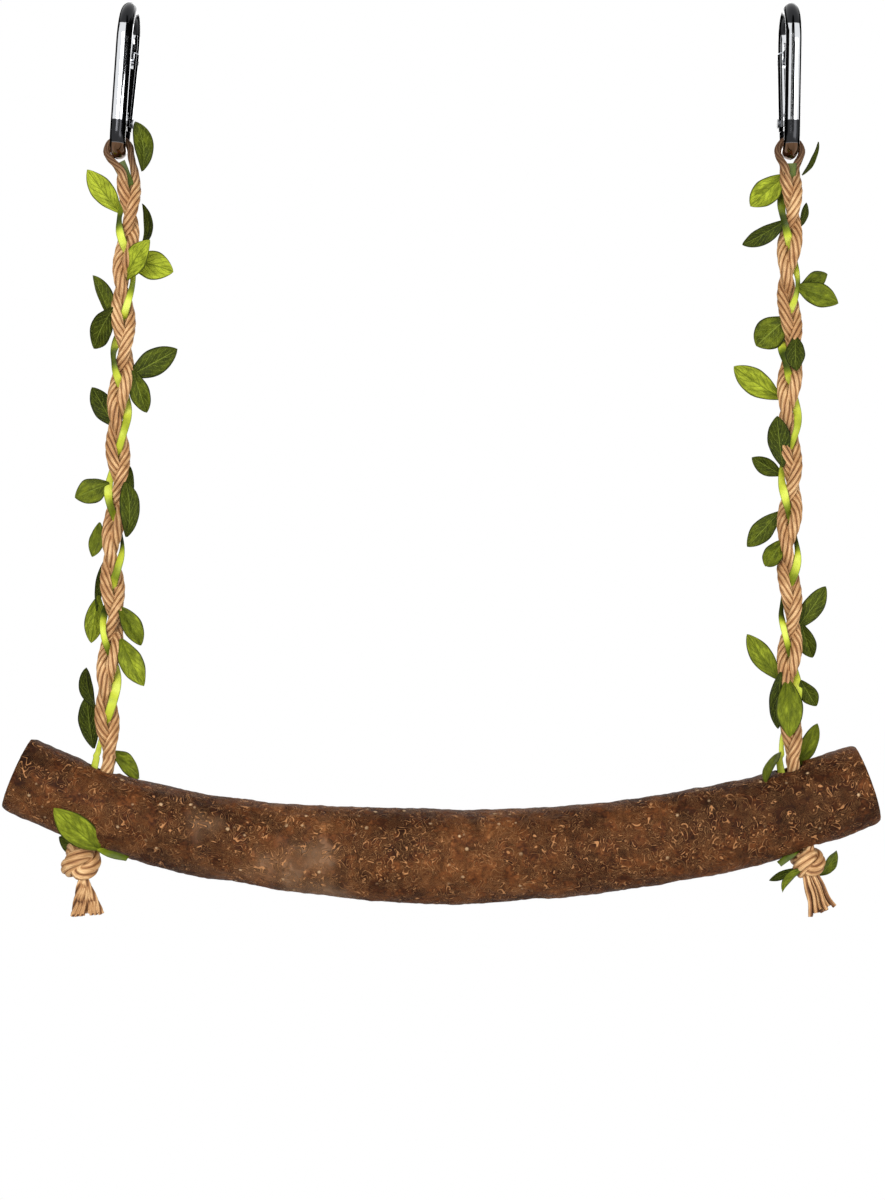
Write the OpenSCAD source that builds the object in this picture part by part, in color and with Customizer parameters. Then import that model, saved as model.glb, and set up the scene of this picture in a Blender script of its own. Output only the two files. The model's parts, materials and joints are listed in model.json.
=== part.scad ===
// Bird swing: a bowed branch perch hung on two plaited cords from spring snap hooks.
// The origin is on the bar that the hooks clip over, midway between them, at the hooks' inner top.
// +X runs to the right along the perch, +Y away from the viewer, +Z up.

/* [Snap hooks] */
// Distance between the two hooks where they sit on the bar
hook_spacing = 211; // [180:1:260]
// Length of a hook's straight sides
side_length = 28; // [26:0.5:36]
// Diameter of the hook's wire
hook_wire_d = 5; // [4.5:0.1:5.5]
// Width of the hook over its narrow lower eye
hook_eye_w = 17.8; // [17.6:0.1:20]
// Lean of the left hook away from the vertical, in degrees
left_hook_lean = 5; // [0:0.5:8]
// Diameter of the gate
gate_d = 5.4; // [5.2:0.1:5.8]
// Length of wire above the eye before the tongue that carries the gate
stub_length = 1.6; // [1:0.1:3]
// Thickness of the flat tongues at the hinge and at the claw
tongue_t = 2.2; // [1.8:0.1:2.4]
// Width of the flat tongues
tongue_w = 4.4; // [3.8:0.1:4.4]
// Length of the claw's tongue below the end of the wide bend
claw_length = 4.6; // [4.2:0.1:5.5]
// Diameter of the hinge rivet
rivet_d = 2; // [1.6:0.1:2.2]
// Diameter of the rivet's heads
rivet_head_d = 3; // [2.6:0.1:3.6]
// Thickness of the rivet's heads
rivet_head_t = 0.35; // [0.2:0.05:0.6]
// Diameter of the latch pin
latch_pin_d = 1.4; // [1:0.1:1.6]
// Diameter of the bore for the spring inside the gate
gate_bore_d = 3.6; // [3.3:0.1:3.8]
// Length of the gate's spring
spring_length = 8; // [6:0.5:10]
// Wire diameter of the gate's spring
spring_wire_d = 0.45; // [0.3:0.05:0.5]
// Number of turns of the gate's spring
spring_turns = 8; // [6:1:9]
// Length of the plunger's body
plunger_length = 2.4; // [2:0.1:3]

/* [Ropes] */
// Diameter of the jute cord
cord_d = 3.2; // [2.6:0.1:3.3]
// Sideways reach of a strand's centre in the plait
plait_reach = 3.1; // [3.1:0.05:3.4]
// Front to back reach of a strand's centre in the plait
plait_depth = 2.5; // [2.5:0.05:3]
// Distance from the left eye's wire down to where the plait starts
left_loop_drop = 10; // [10:0.1:12]
// Distance from the right eye's wire down to where the plait starts
right_loop_drop = 7.3; // [7:0.1:10]
// Distance of the left plait's start to the right of the eye
left_loop_shift = 3.2; // [0:0.1:3.4]
// Length of the left plait
left_plait_length = 182.3; // [150:0.1:230]
// Lean of the left rope away from the vertical, in degrees
left_rope_lean = 2.3; // [0:0.1:4]
// Quarter turns of the plait along a rope
plait_quarters = 17; // [13:2:21]
// Width of the vine ribbon
ribbon_w = 3.1; // [2.4:0.1:3.2]
// Thickness of the vine ribbon
ribbon_t = 0.6; // [0.4:0.1:0.8]

/* [Leaves] */
// Length of a full leaf blade
leaf_length = 16; // [13:0.5:17]
// Width of a full leaf blade
leaf_width = 9; // [7:0.5:10]
// Thickness of a leaf
leaf_t = 0.5; // [0.4:0.1:0.6]
// Radius to which a leaf curls along its length
leaf_curl_r = 20; // [14:1:40]
// Diameter of a leaf's stalk
stalk_d = 0.9; // [0.7:0.1:1.1]

/* [Perch] */
// Distance between the centres of the perch's sawn ends
perch_chord = 272; // [250:1:300]
// Depth of the perch's bow below the line between its ends
perch_sag = 24.3; // [15:0.1:30]
// Greatest diameter of the perch
perch_d = 30; // [26:0.5:34]
// Fall of the perch's right end below its left end, in degrees
perch_tilt = 0.75; // [0:0.05:2]
// Diameter of the holes drilled through the perch
hole_d = 10.4; // [10.2:0.1:12]
// Distance of the left hole's middle from the perch's left end
left_hole_inset = 25; // [20:0.1:35]
// Distance of the right hole's middle from the perch's right end
right_hole_inset = 22.6; // [20:0.1:35]
// Lean of the left hole away from the vertical, in degrees
left_hole_lean = 14.2; // [5:0.1:18]
// Lean of the right hole away from the vertical, in degrees
right_hole_lean = 10; // [5:0.1:18]
// Height of the rope's lowest bend above the mouth of the hole
rope_rise = 2.6; // [2.2:0.1:4]

/* [Knots and tails] */
// Diameter of the left knot
left_knot_d = 13.2; // [12:0.1:15]
// Height of the left knot
left_knot_h = 12; // [10:0.5:14]
// Diameter of the right knot
right_knot_d = 12; // [11.5:0.1:14]
// Height of the right knot
right_knot_h = 9.6; // [8:0.1:12]
// Length of the left tail
left_tail_length = 11; // [8:0.5:16]
// Length of the right tail
right_tail_length = 12; // [8:0.5:16]
// Lean of the left tail's foot to the right of the vertical, in degrees
left_tail_lean = 5; // [0:1:10]
// Lean of the right tail's foot to the right of the vertical, in degrees
right_tail_lean = 18; // [5:1:20]
// Distance of the left tail to the right of the knot's middle
left_tail_shift = 2.2; // [0:0.1:2.6]
// Width of the tails at the knot
tail_neck_w = 7; // [5:0.5:8]
// Width of the tails at their loose end
tail_end_w = 10.4; // [8:0.2:12]

/* [Hidden] */

// Colours
chrome = [0.78, 0.79, 0.8];
dark_chrome = [0.3, 0.3, 0.32];
jute = [0.78, 0.63, 0.45];
ribbon_green = [0.72, 0.83, 0.25];
leaf_green = [0.42, 0.58, 0.16];
bark = [0.33, 0.2, 0.13];

// Clearances
soft_gap = 0.3;
slip_gap = 0.3;
rivet_slip = 0.08;
snug_gap = 0.02;
joint_gap = 0.45;
end_gap = 0.4;
overrun = 1;

// Hook sizes worked out from its eye, its straight sides and its wire
wire_r = hook_wire_d / 2;
side_slope_share = 1 / 7;
side_slope = atan(side_slope_share);
sides_cos = (1 - side_slope_share * side_slope_share) / (1 + side_slope_share * side_slope_share);
sides_sin = 2 * side_slope_share / (1 + side_slope_share * side_slope_share);
eye_bend_r = hook_eye_w / 2 - wire_r;
top_bend_r = eye_bend_r + side_length * side_slope_share;
top_centre_z = -(top_bend_r - wire_r);
eye_centre_z = top_centre_z - side_length / cos(side_slope);
hinge_height = stub_length + gate_d / 2 + end_gap;
gate_top = side_length - hinge_height - end_gap;
slot_w = tongue_t + 2 * slip_gap;
claw_slot_depth = claw_length + slip_gap + end_gap;
pin_below_top = claw_length / 2 + slip_gap;
hinge_slot_top = tongue_w / 2 + slip_gap + end_gap;
plunger_body_d = gate_bore_d - 2 * snug_gap - slip_gap;
plunger_tip_d = tongue_t - slip_gap;
plunger_tip_z = tongue_w / 2 + slip_gap;
plunger_body_z = hinge_slot_top + end_gap;
spring_z = plunger_body_z + plunger_length + snug_gap;
spring_coil_r = (gate_bore_d - spring_wire_d - slip_gap) / 2;
eye_wire_z = eye_centre_z - eye_bend_r;

// Where the hooks and the ropes hang
left_hook_x = -hook_spacing / 2;
right_hook_x = hook_spacing / 2;
left_eye_x = left_hook_x + eye_wire_z * sin(left_hook_lean);
left_eye_wire_z = eye_wire_z * cos(left_hook_lean);
loop_r = wire_r + soft_gap + cord_d / 2;
left_start = [left_eye_x + left_loop_shift, 0, left_eye_wire_z - left_loop_drop];
right_start = [right_hook_x, 0, eye_wire_z - right_loop_drop];

// Direction down a rope or a hole that leans by an angle, positive when its foot goes to the left
function down(lean) = [-sin(lean), 0, -cos(lean)];

// Shape of the branch: bow and girth at equal steps along it, as shares of its sag and its diameter
perch_bow_shares = [0, 0.44, 0.73, 0.9, 0.965, 1, 0.955, 0.865, 0.66, 0.38, 0];
perch_girth_shares = [0.83, 0.86, 0.88, 0.91, 0.97, 1, 0.95, 0.935, 0.92, 0.89, 0.84];
perch_sides = 24;
perch_rings = 46;
rim_share = 0.955;
rim_inset_share = 0.25;
// Each ring is a circle made slightly oval and lumpy: lobes round it, how far they stand out, and the
// degrees that they turn by along the branch
oval_lobes = 2;
oval_share = 0.025;
oval_turn = 200;
lump_lobes = 3;
lump_share = 0.02;
lump_turn = 900;

// Smooth curve through equally spaced values of a table, at a share along it from 0 to 1
function held(table, i) = table[max(0, min(len(table) - 1, i))];
function curve_at(table, share) =
    let (
        place = share * (len(table) - 1),
        i = min(floor(place), len(table) - 2),
        f = place - i,
        p0 = i == 0 ? 2 * table[0] - table[1] : table[i - 1],
        p1 = table[i],
        p2 = table[i + 1],
        p3 = i + 2 > len(table) - 1 ? 2 * p2 - p1 : held(table, i + 2)
    )
    p1 + f * (p2 - p0) / 2 + f * f * (2 * p0 - 5 * p1 + 4 * p2 - p3) / 2
        + f * f * f * (3 * p1 - 3 * p2 + p3 - p0) / 2;

// Centre line of the branch in its own frame, which starts at its left end and runs along the chord
function bow(share) = [share * perch_chord, 0, -perch_sag * curve_at(perch_bow_shares, share)];
function girth_r(share) = perch_d / 2 * curve_at(perch_girth_shares, share);
bow_step_share = 0.01;
function bow_slope(share) =
    let (
        a = bow(max(0, share - bow_step_share)),
        b = bow(min(1, share + bow_step_share))
    )
    atan2(a.z - b.z, b.x - a.x);

// A point of the branch's frame, turned by its tilt
function tilted(p) = [
    p.x * cos(perch_tilt) + p.z * sin(perch_tilt),
    p.y,
    p.z * cos(perch_tilt) - p.x * sin(perch_tilt)
];

// The holes: middle of each on the centre line, then its mouth on top and its foot below
left_hole_share = left_hole_inset / perch_chord;
right_hole_share = 1 - right_hole_inset / perch_chord;
function wall_along(share, lean) = girth_r(share) / cos(bow_slope(share) + perch_tilt - lean);
left_half_hole = wall_along(left_hole_share, left_hole_lean);
right_half_hole = wall_along(right_hole_share, -right_hole_lean);
left_rope_length = left_plait_length + 2 * joint_gap;
left_foot = left_start + left_rope_length * down(left_rope_lean);
left_mouth = left_foot + rope_rise * down(left_rope_lean);
left_hole_mid = left_mouth + left_half_hole * down(left_hole_lean);
perch_origin = left_hole_mid - tilted(bow(left_hole_share));
right_hole_mid = perch_origin + tilted(bow(right_hole_share));
right_mouth = right_hole_mid - right_half_hole * down(-right_hole_lean);
right_reach = right_mouth - right_start;
right_rope_lean = atan2(-right_reach.x, -right_reach.z);
right_rope_length = norm(right_reach) - rope_rise;
right_foot = right_start + right_rope_length * down(right_rope_lean);
right_plait_length = right_rope_length - 2 * joint_gap;
left_knot_top = left_hole_mid + (left_half_hole + 2 * soft_gap) * down(left_hole_lean);
right_knot_top = right_hole_mid + (right_half_hole + 2 * soft_gap) * down(-right_hole_lean);

// The plait: a strand's centre at an angle of travel, and the three strands' starting angles
cord_a_start = -60;
cord_b_start = 60;
ribbon_start = 180;
plait_angle = 90 * plait_quarters;
rings_per_quarter = 3;
cord_sides = 8;
function strand(angle) = [plait_reach * sin(angle), plait_depth * sin(2 * angle)];
function strand_point(angle, depth) =
    let (p = strand(angle))
    [p.x, p.y, -depth];
function plait_route(start, length) =
    let (steps = plait_quarters * rings_per_quarter)
    [for (i = [0:steps]) strand_point(start + plait_angle * i / steps, joint_gap + length * i / steps)];

// Directions along a route, and rings of points square to it
function unit(v) = v / norm(v);
function heading(route, i) = unit(route[min(i + 1, len(route) - 1)] - route[max(i - 1, 0)]);
function side_of(t) = unit(cross([0, 1, 0], t));
function ring_about(centre, t, outline) =
    let (
        u = side_of(t),
        v = cross(t, u)
    )
    [for (p = outline) centre + p.x * u + p.y * v];
function rings_along(route, outline, first, last) = [
    for (i = [0:len(route) - 1])
        ring_about(route[i], i == 0 ? first : (i == len(route) - 1 ? last : heading(route, i)), outline)
];
function round_outline(d, sides) = [for (i = [0:sides - 1]) d / 2 * [cos(360 * i / sides), sin(360 * i / sides)]];
function strip_outline(w, t) = [[w / 2, -t / 2], [w / 2, t / 2], [-w / 2, t / 2], [-w / 2, -t / 2]];

// A closed solid through rings of equal numbers of points
module loft(rings) {
    n = len(rings[0]);
    m = len(rings);
    sides = [
        for (j = [0:m - 2], i = [0:n - 1], half = [0, 1])
            let (
                a = j * n + i,
                b = j * n + (i + 1) % n,
                c = a + n,
                d = b + n
            )
            half == 0 ? [a, c, b] : [b, c, d]
    ];
    near_cap = [for (i = [1:n - 2]) [0, i, i + 1]];
    far_cap = [for (i = [1:n - 2]) [(m - 1) * n, (m - 1) * n + i + 1, (m - 1) * n + i]];
    polyhedron(points = [for (r = rings, p = r) p], faces = concat(sides, near_cap, far_cap), convexity = 6);
}

// A cord along a route, cut square to the directions given for its two ends
module cord_tube(route, first, last) {
    color(jute) loft(rings_along(route, round_outline(cord_d, cord_sides), first, last));
}

// Places that the pieces of each side are set in
module on_left_hook() {
    translate([left_hook_x, 0, 0]) rotate([0, left_hook_lean, 0]) children();
}

module on_right_hook() {
    translate([right_hook_x, 0, 0]) children();
}

module on_left_rope() {
    translate(left_start) rotate([0, left_rope_lean, 0]) children();
}

module on_right_rope() {
    translate(right_start) rotate([0, right_rope_lean, 0]) children();
}

// The hook's spine runs straight along Z in this frame, whose origin is the centre of the wide bend
module along_spine() {
    translate([0, 0, top_centre_z]) rotate([side_slope, 0, 0]) children();
}

// Turns from the spine's direction to that of the side the gate closes
module turned_to_gate_side() {
    multmatrix([[1, 0, 0, 0], [0, sides_cos, sides_sin, 0], [0, -sides_sin, sides_cos, 0], [0, 0, 0, 1]]) children();
}

// The straight side of the hook that the gate closes, from the eye's bend upward
module on_gate_side() {
    along_spine() turned_to_gate_side() translate([0, top_bend_r, -side_length]) children();
}

module on_hinge() {
    on_gate_side() translate([0, 0, hinge_height]) children();
}

// A cylinder along X, centred
module cross_pin(d, length) {
    rotate([0, 90, 0]) cylinder(d = d, h = length, center = true, $fn = 32);
}

// The hook's wire bent all the way round, in the hook's plane
module wire_ring(r) {
    rotate([0, 90, 0]) rotate_extrude($fn = 96) translate([r, 0]) circle(d = hook_wire_d, $fn = 32);
}

// The room between the two straight sides, below the centre of a bend
module between_sides() {
    reach = 3 * top_bend_r;
    intersection() {
        translate([-reach / 2, -reach / 2, -reach]) cube(reach);
        turned_to_gate_side() translate([-reach / 2, -reach / 2, -reach]) cube(reach);
    }
}

// A flat piece of the hook's plane, of a tongue's thickness or more, from an outline whose first
// coordinate points down and whose second points away from the viewer
module flat_piece(thickness) {
    rotate([0, 90, 0]) linear_extrude(height = thickness, center = true) children();
}

module hook_body() {
    color(chrome) {
        along_spine() {
            difference() {
                wire_ring(top_bend_r);
                between_sides();
            }
            translate([0, -top_bend_r, -side_length]) cylinder(d = hook_wire_d, h = side_length, $fn = 32);
            translate([0, eye_bend_r - top_bend_r, -side_length]) intersection() {
                wire_ring(eye_bend_r);
                between_sides();
            }
        }
        on_gate_side() {
            cylinder(d = hook_wire_d, h = stub_length, $fn = 32);
            difference() {
                translate([0, 0, hinge_height]) flat_piece(tongue_t) union() {
                    circle(d = tongue_w, $fn = 48);
                    translate([0, -tongue_w / 2]) square([hinge_height - stub_length / 2, tongue_w]);
                }
                translate([0, 0, hinge_height]) cross_pin(rivet_d + 2 * snug_gap, tongue_t + overrun);
            }
            translate([0, 0, side_length]) flat_piece(tongue_t) claw_outline();
        }
    }
}

// The claw at the end of the wide bend, with the notch that the latch pin rests in.
// The notch is open towards the inside of the hook.
module claw_outline() {
    notch_d = latch_pin_d + 2 * slip_gap;
    root = tongue_w / 16;
    difference() {
        translate([-root, -tongue_w / 2]) square([claw_length + root, tongue_w]);
        translate([end_gap + pin_below_top, 0]) union() {
            circle(d = notch_d, $fn = 32);
            translate([-notch_d / 2, -tongue_w]) square([notch_d, tongue_w]);
        }
    }
}

module gate_rivet() {
    color(dark_chrome) on_hinge() {
        cross_pin(rivet_d, gate_d + 2 * rivet_slip + rivet_head_t);
        for (s = [-1, 1])
            translate([s * (gate_d / 2 + rivet_slip + rivet_head_t / 2), 0, 0]) cross_pin(rivet_head_d, rivet_head_t);
    }
}

module gate() {
    color(chrome) on_hinge() difference() {
        union() {
            cylinder(d = gate_d, h = gate_top, $fn = 32);
            intersection() {
                translate([0, 0, -gate_d / 2]) cylinder(d = gate_d, h = gate_d, $fn = 32);
                cross_pin(gate_d, gate_d);
            }
        }
        translate([-slot_w / 2, -gate_d, -gate_d]) cube([slot_w, 2 * gate_d, gate_d + hinge_slot_top]);
        translate([-slot_w / 2, -gate_d, gate_top - claw_slot_depth])
            cube([slot_w, 2 * gate_d, claw_slot_depth + overrun]);
        cross_pin(rivet_d + 2 * rivet_slip, gate_d + overrun);
        translate([0, 0, gate_top - pin_below_top]) cross_pin(latch_pin_d + 2 * snug_gap, gate_d + overrun);
        cylinder(d = gate_bore_d, h = spring_z + spring_length + snug_gap, $fn = 32);
    }
}

module latch_pin() {
    color(dark_chrome) on_hinge() translate([0, 0, gate_top - pin_below_top])
        cross_pin(latch_pin_d, gate_d - slip_gap);
}

module gate_plunger() {
    color(dark_chrome) on_hinge() {
        translate([0, 0, plunger_tip_z])
            cylinder(d = plunger_tip_d, h = plunger_body_z - plunger_tip_z + plunger_length, $fn = 32);
        translate([0, 0, plunger_body_z]) cylinder(d = plunger_body_d, h = plunger_length, $fn = 32);
    }
}

// The spring's wire, with half a wire's room at both ends
steps_per_turn = 8;
spring_wire_sides = 6;
module gate_spring() {
    steps = steps_per_turn * spring_turns;
    rise = spring_length - spring_wire_d - 2 * snug_gap;
    route = [
        for (i = [0:steps])
            let (angle = 360 * spring_turns * i / steps)
            [
                spring_coil_r * cos(angle),
                spring_coil_r * sin(angle),
                spring_z + spring_wire_d / 2 + snug_gap + rise * i / steps
            ]
    ];
    rings = [
        for (i = [0:steps])
            let (
                t = heading(route, i),
                outward = unit([route[i].x, route[i].y, 0]),
                v = cross(t, outward)
            )
            [for (p = round_outline(spring_wire_d, spring_wire_sides)) route[i] + p.x * outward + p.y * v]
    ];
    color(dark_chrome) on_hinge() loft(rings);
}

// The doubled cord through the eye: over the wire, then both legs drawn together at the plait
bend_steps = 8;
leg_steps = 4;
function leg_point(from, to, f) =
    let (ease = f * f * (3 - 2 * f))
    [from.x + (to.x - from.x) * ease, from.y + (to.y - from.y) * ease, from.z + (to.z - from.z) * f];
function leg_route(from, to) = [for (i = [1:leg_steps]) leg_point(from, to, i / leg_steps)];
function reversed(list) = [for (i = [len(list) - 1:-1:0]) list[i]];

module rope_loop(start, eye_x, wire_z) {
    a = strand(cord_a_start);
    b = strand(cord_b_start);
    foot_z = start.z + joint_gap;
    bend = [
        for (i = [0:bend_steps])
            let (angle = 180 * i / bend_steps)
            [eye_x - loop_r * cos(angle), 0, wire_z + loop_r * sin(angle)]
    ];
    left_leg = leg_route(bend[0], [start.x + a.x, a.y, foot_z]);
    right_leg = leg_route(bend[bend_steps], [start.x + b.x, b.y, foot_z]);
    cord_tube(concat(reversed(left_leg), bend, right_leg), -down(0), down(0));
}

module plait_cord(start, length) {
    cord_tube(plait_route(start, length), down(0), down(0));
}

module vine_ribbon(length) {
    color(ribbon_green)
        loft(rings_along(plait_route(ribbon_start, length), strip_outline(ribbon_w, ribbon_t), down(0), down(0)));
}

// A leaf: a pointed oval cut from a thin curved sheet, on its stalk. It lies along +X and faces +Z.
stalk_reach_share = 0.08;
module leaf(size_share, width_share) {
    blade = leaf_length * size_share;
    half_w = leaf_width * width_share / 2;
    arc_r = (blade * blade / 4 + half_w * half_w) / (2 * half_w);
    stalk = stalk_reach_share * leaf_length;
    curl_drop = sqrt(leaf_curl_r * leaf_curl_r - blade * blade / 4);
    color(leaf_green) {
        rotate([0, 90, 0]) cylinder(d = stalk_d, h = stalk + stalk_d, $fn = 16);
        translate([stalk, 0, 0]) intersection() {
            intersection() {
                translate([blade / 2, half_w - arc_r, -leaf_length / 2]) cylinder(r = arc_r, h = leaf_length, $fn = 64);
                translate([blade / 2, arc_r - half_w, -leaf_length / 2]) cylinder(r = arc_r, h = leaf_length, $fn = 64);
            }
            translate([blade / 2, 0, -curl_drop]) rotate([90, 0, 0]) difference() {
                cylinder(r = leaf_curl_r + leaf_t / 2, h = 2 * leaf_width, center = true, $fn = 96);
                cylinder(r = leaf_curl_r - leaf_t / 2, h = 3 * leaf_width, center = true, $fn = 96);
            }
        }
    }
}

// Turns a leaf: azimuth about the rope, elevation above the level, and roll about its own rib.
// At roll 0 its face looks to the front on the right side, and to the back on the left side.
module leaf_turned(azimuth, elevation, roll, size_share, width_share) {
    rotate([0, 0, azimuth]) rotate([0, -elevation, 0]) rotate([90 + roll, 0, 0]) leaf(size_share, width_share);
}

// The strand that reaches furthest in a direction, at a share of the way down the plait
function strands_at(share) = [
    strand(cord_a_start + plait_angle * share),
    strand(cord_b_start + plait_angle * share),
    strand(ribbon_start + plait_angle * share)
];
function furthest(share, azimuth) =
    let (
        way = [cos(azimuth), sin(azimuth)],
        places = strands_at(share),
        ribbon_r = (ribbon_w * abs(way.x) + ribbon_t * abs(way.y)) / 2,
        radii = [cord_d / 2, cord_d / 2, ribbon_r],
        reaches = [for (k = [0:2]) places[k] * way + radii[k]],
        k = reaches[0] >= max(reaches) ? 0 : (reaches[1] >= max(reaches) ? 1 : 2)
    )
    places[k] + (radii[k] + soft_gap + stalk_d / 2) * way;

// Leaves along a rope, each as share of the way down, azimuth, elevation, roll, size share, width share
module rope_leaves(list, length) {
    for (l = list) {
        seat = furthest(l[0], l[1]);
        translate([seat.x, seat.y, -joint_gap - length * l[0]]) leaf_turned(l[1], l[2], l[3], l[4], l[5]);
    }
}

left_upper_leaf_shares = [
    [0.037, 186, 48, 6, 0.79, 1],
    [0.095, 30, 73, 30, 0.62, 0.8],
    [0.137, 5, -11, -14, 0.64, 1.1],
    [0.155, -60, 45, 10, 0.76, 0.95],
    [0.225, 165, 65, -20, 0.71, 0.8],
    [0.235, 225, -62, 10, 0.7, 1]
];
left_middle_leaf_shares = [
    [0.327, 5, 32, 8, 0.82, 0.95],
    [0.344, 30, -68, 30, 0.6, 0.8],
    [0.409, 172, 58, 10, 0.61, 0.85],
    [0.534, 190, -26, 12, 0.45, 0.95],
    [0.555, -45, 72, 60, 0.58, 0.5],
    [0.619, -5, 73, 50, 0.85, 0.8],
    [0.604, 178, -66, 10, 0.5, 0.8]
];
left_lower_leaf_shares = [
    [0.733, 176, 80, 60, 0.85, 0.75],
    [0.742, 192, -64, 0, 0.76, 0.95],
    [0.758, 8, -58, -14, 0.6, 0.85],
    [0.814, -20, -59, -10, 0.78, 0.9],
    [0.902, 186, 75, 36, 0.52, 0.7],
    [0.98, 178, 76, 24, 0.86, 0.95]
];
right_upper_leaf_shares = [
    [0.012, 188, -42, 8, 0.66, 0.95],
    [0.069, 20, 72, 24, 0.24, 0.45],
    [0.087, 176, -29, 24, 0.69, 0.8],
    [0.188, 20, 24, 24, 0.45, 0.8],
    [0.199, -8, -22, -6, 0.63, 1],
    [0.259, 188, -36, 8, 0.5, 1]
];
right_middle_leaf_shares = [
    [0.297, -88, -76, -70, 0.44, 0.75],
    [0.375, 186, 33, 8, 0.87, 1],
    [0.487, 236, 76, -55, 0.75, 0.85],
    [0.508, 176, 26, 18, 0.42, 0.9],
    [0.594, 184, -48, 8, 0.68, 0.95],
    [0.643, 210, -50, 24, 0.42, 0.85]
];
right_lower_leaf_shares = [
    [0.772, 2, 52, 4, 0.79, 1],
    [0.791, 20, -70, 40, 0.45, 0.8],
    [0.857, 182, 54, 8, 0.84, 1],
    [0.864, 212, -80, 40, 0.95, 0.75],
    [0.888, -88, -76, -90, 0.89, 1],
    [0.888, 10, -58, 30, 0.4, 0.7]
];

// One leaf beside each hook, held by the loop's outer leg. Each is given as share of the way down the leg,
// azimuth, elevation, roll, size share, width share.
left_hook_leaf_shares = [0.35, 20, 80, 20, 0.8, 0.8];
right_hook_leaf_shares = [0.6, 12, 62, 70, 0.55, 0.8];
module hook_leaf(l, start, eye_x, wire_z) {
    b = strand(cord_b_start);
    leg = leg_point([eye_x + loop_r, 0, wire_z], [start.x + b.x, b.y, start.z + joint_gap], l[0]);
    way = [cos(l[1]), sin(l[1]), 0];
    translate(leg + (cord_d / 2 + soft_gap + stalk_d / 2) * way) leaf_turned(l[1], l[2], l[3], l[4], l[5]);
}

// The cords and the ribbon from the lowest bend of the rope, through the hole
function hole_route(angle, foot, mouth, bottom, rope_lean, hole_lean) =
    let (
        p = strand(angle + plait_angle),
        turn = (rope_lean + hole_lean) / 2
    )
    [
        foot + joint_gap * down(rope_lean) + p.x * [cos(rope_lean), 0, -sin(rope_lean)] + [0, p.y, 0],
        mouth + p.x * [cos(turn), 0, -sin(turn)] + [0, p.y, 0],
        bottom + p.x * [cos(hole_lean), 0, -sin(hole_lean)] + [0, p.y, 0]
    ];

module hole_cords(foot, mouth, bottom, rope_lean, hole_lean) {
    for (angle = [cord_a_start, cord_b_start])
        cord_tube(hole_route(angle, foot, mouth, bottom, rope_lean, hole_lean), down(rope_lean), down(hole_lean));
}

module ribbon_end(foot, mouth, bottom, rope_lean, hole_lean) {
    color(ribbon_green) loft(rings_along(
        hole_route(ribbon_start, foot, mouth, bottom, rope_lean, hole_lean),
        strip_outline(ribbon_t, ribbon_w),
        down(rope_lean),
        down(hole_lean)
    ));
}

// Leaves round a knot, each as the azimuth of its seat, share of the knot's height, azimuth, elevation,
// roll, size share, width share
left_knot_leaf_shares = [
    [-75, 0.3, 230, 38, 140, 1.25, 1.15],
    [110, 0.2, 175, 30, 20, 0.38, 0.7]
];
right_knot_leaf_shares = [
    [200, 0.8, 190, -22, 30, 0.38, 0.35],
    [235, 0.9, 205, -40, -20, 0.42, 0.55],
    [30, 0.7, 20, 50, 30, 0.34, 0.8]
];
module knot_leaves(list, top, lean, knot_d, knot_h) {
    for (l = list)
        translate(top + l[1] * knot_h * down(lean) + (knot_d / 2 + soft_gap + stalk_d / 2) * [cos(l[0]), sin(l[0]), 0])
            leaf_turned(l[2], l[3], l[4], l[5], l[6]);
}

// Leaves held where the cords enter the branch, each as azimuth, elevation, roll, size share, width share
left_mouth_leaf_shares = [[20, -14, -55, 0.8, 0.85]];
right_mouth_leaf_shares = [
    [35, 54, 0, 0.78, 0.8],
    [234, -26, -80, 0.6, 0.6]
];
module mouth_leaves(list, foot, lean) {
    for (l = list) {
        seat = furthest(1, l[0]);
        translate(foot + rope_rise / 2 * down(lean) + [seat.x, seat.y, 0]) leaf_turned(l[0], l[1], l[2], l[3], l[4]);
    }
}

// A stopper knot: two fat turns of the doubled cord round its core
module knot(top, lean, d, h) {
    turn_d = h / 2;
    turn_r = (d - turn_d) / 2;
    color(jute) translate(top) rotate([0, lean, 0]) {
        for (z = [turn_d / 2, h - turn_d / 2])
            translate([0, 0, -z]) rotate_extrude($fn = 64) translate([turn_r, 0]) circle(d = turn_d, $fn = 32);
        translate([0, 0, turn_d / 2 - h]) cylinder(r = turn_r, h = h - turn_d, $fn = 64);
    }
}

// The loose end under a knot, clear of the knot by as much as its own lean calls for, and moved to the right
// of the knot's middle by a shift along the knot's foot
module tail(top, lean, knot_h, length, tail_lean, shift) {
    tilt_room = tail_neck_w / 2 * abs(sin(lean - tail_lean));
    place = top + (knot_h + soft_gap + tilt_room) * down(lean) + shift * [cos(lean), 0, -sin(lean)];
    color(jute) translate(place) rotate([0, tail_lean, 0])
        translate([0, 0, -length]) rotate_extrude($fn = 48) polygon([
            [0, 0],
            [tail_end_w / 2, 0],
            [tail_neck_w / 2, length],
            [0, length]
        ]);
}

// Shares along the branch at which it has a ring of points: both rims, and full rings between them
ring_shares = concat(
    [0, rim_inset_share / perch_rings],
    [for (j = [1:perch_rings - 1]) j / perch_rings],
    [1 - rim_inset_share / perch_rings, 1]
);
function perch_ring(share) =
    let (
        centre = bow(share),
        lean = bow_slope(share),
        at_rim = share == 0 || share == 1,
        r = girth_r(share) * (at_rim ? rim_share : 1)
    )
    [
        for (i = [0:perch_sides - 1])
            let (
                angle = 360 * i / perch_sides,
                oval = oval_share * cos(oval_lobes * angle + oval_turn * share),
                lump = lump_share * cos(lump_lobes * angle - lump_turn * share),
                up = r * (1 + oval + lump) * sin(angle)
            )
            tilted(centre + [up * sin(lean), r * (1 + oval + lump) * cos(angle), up * cos(lean)])
    ];

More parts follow.
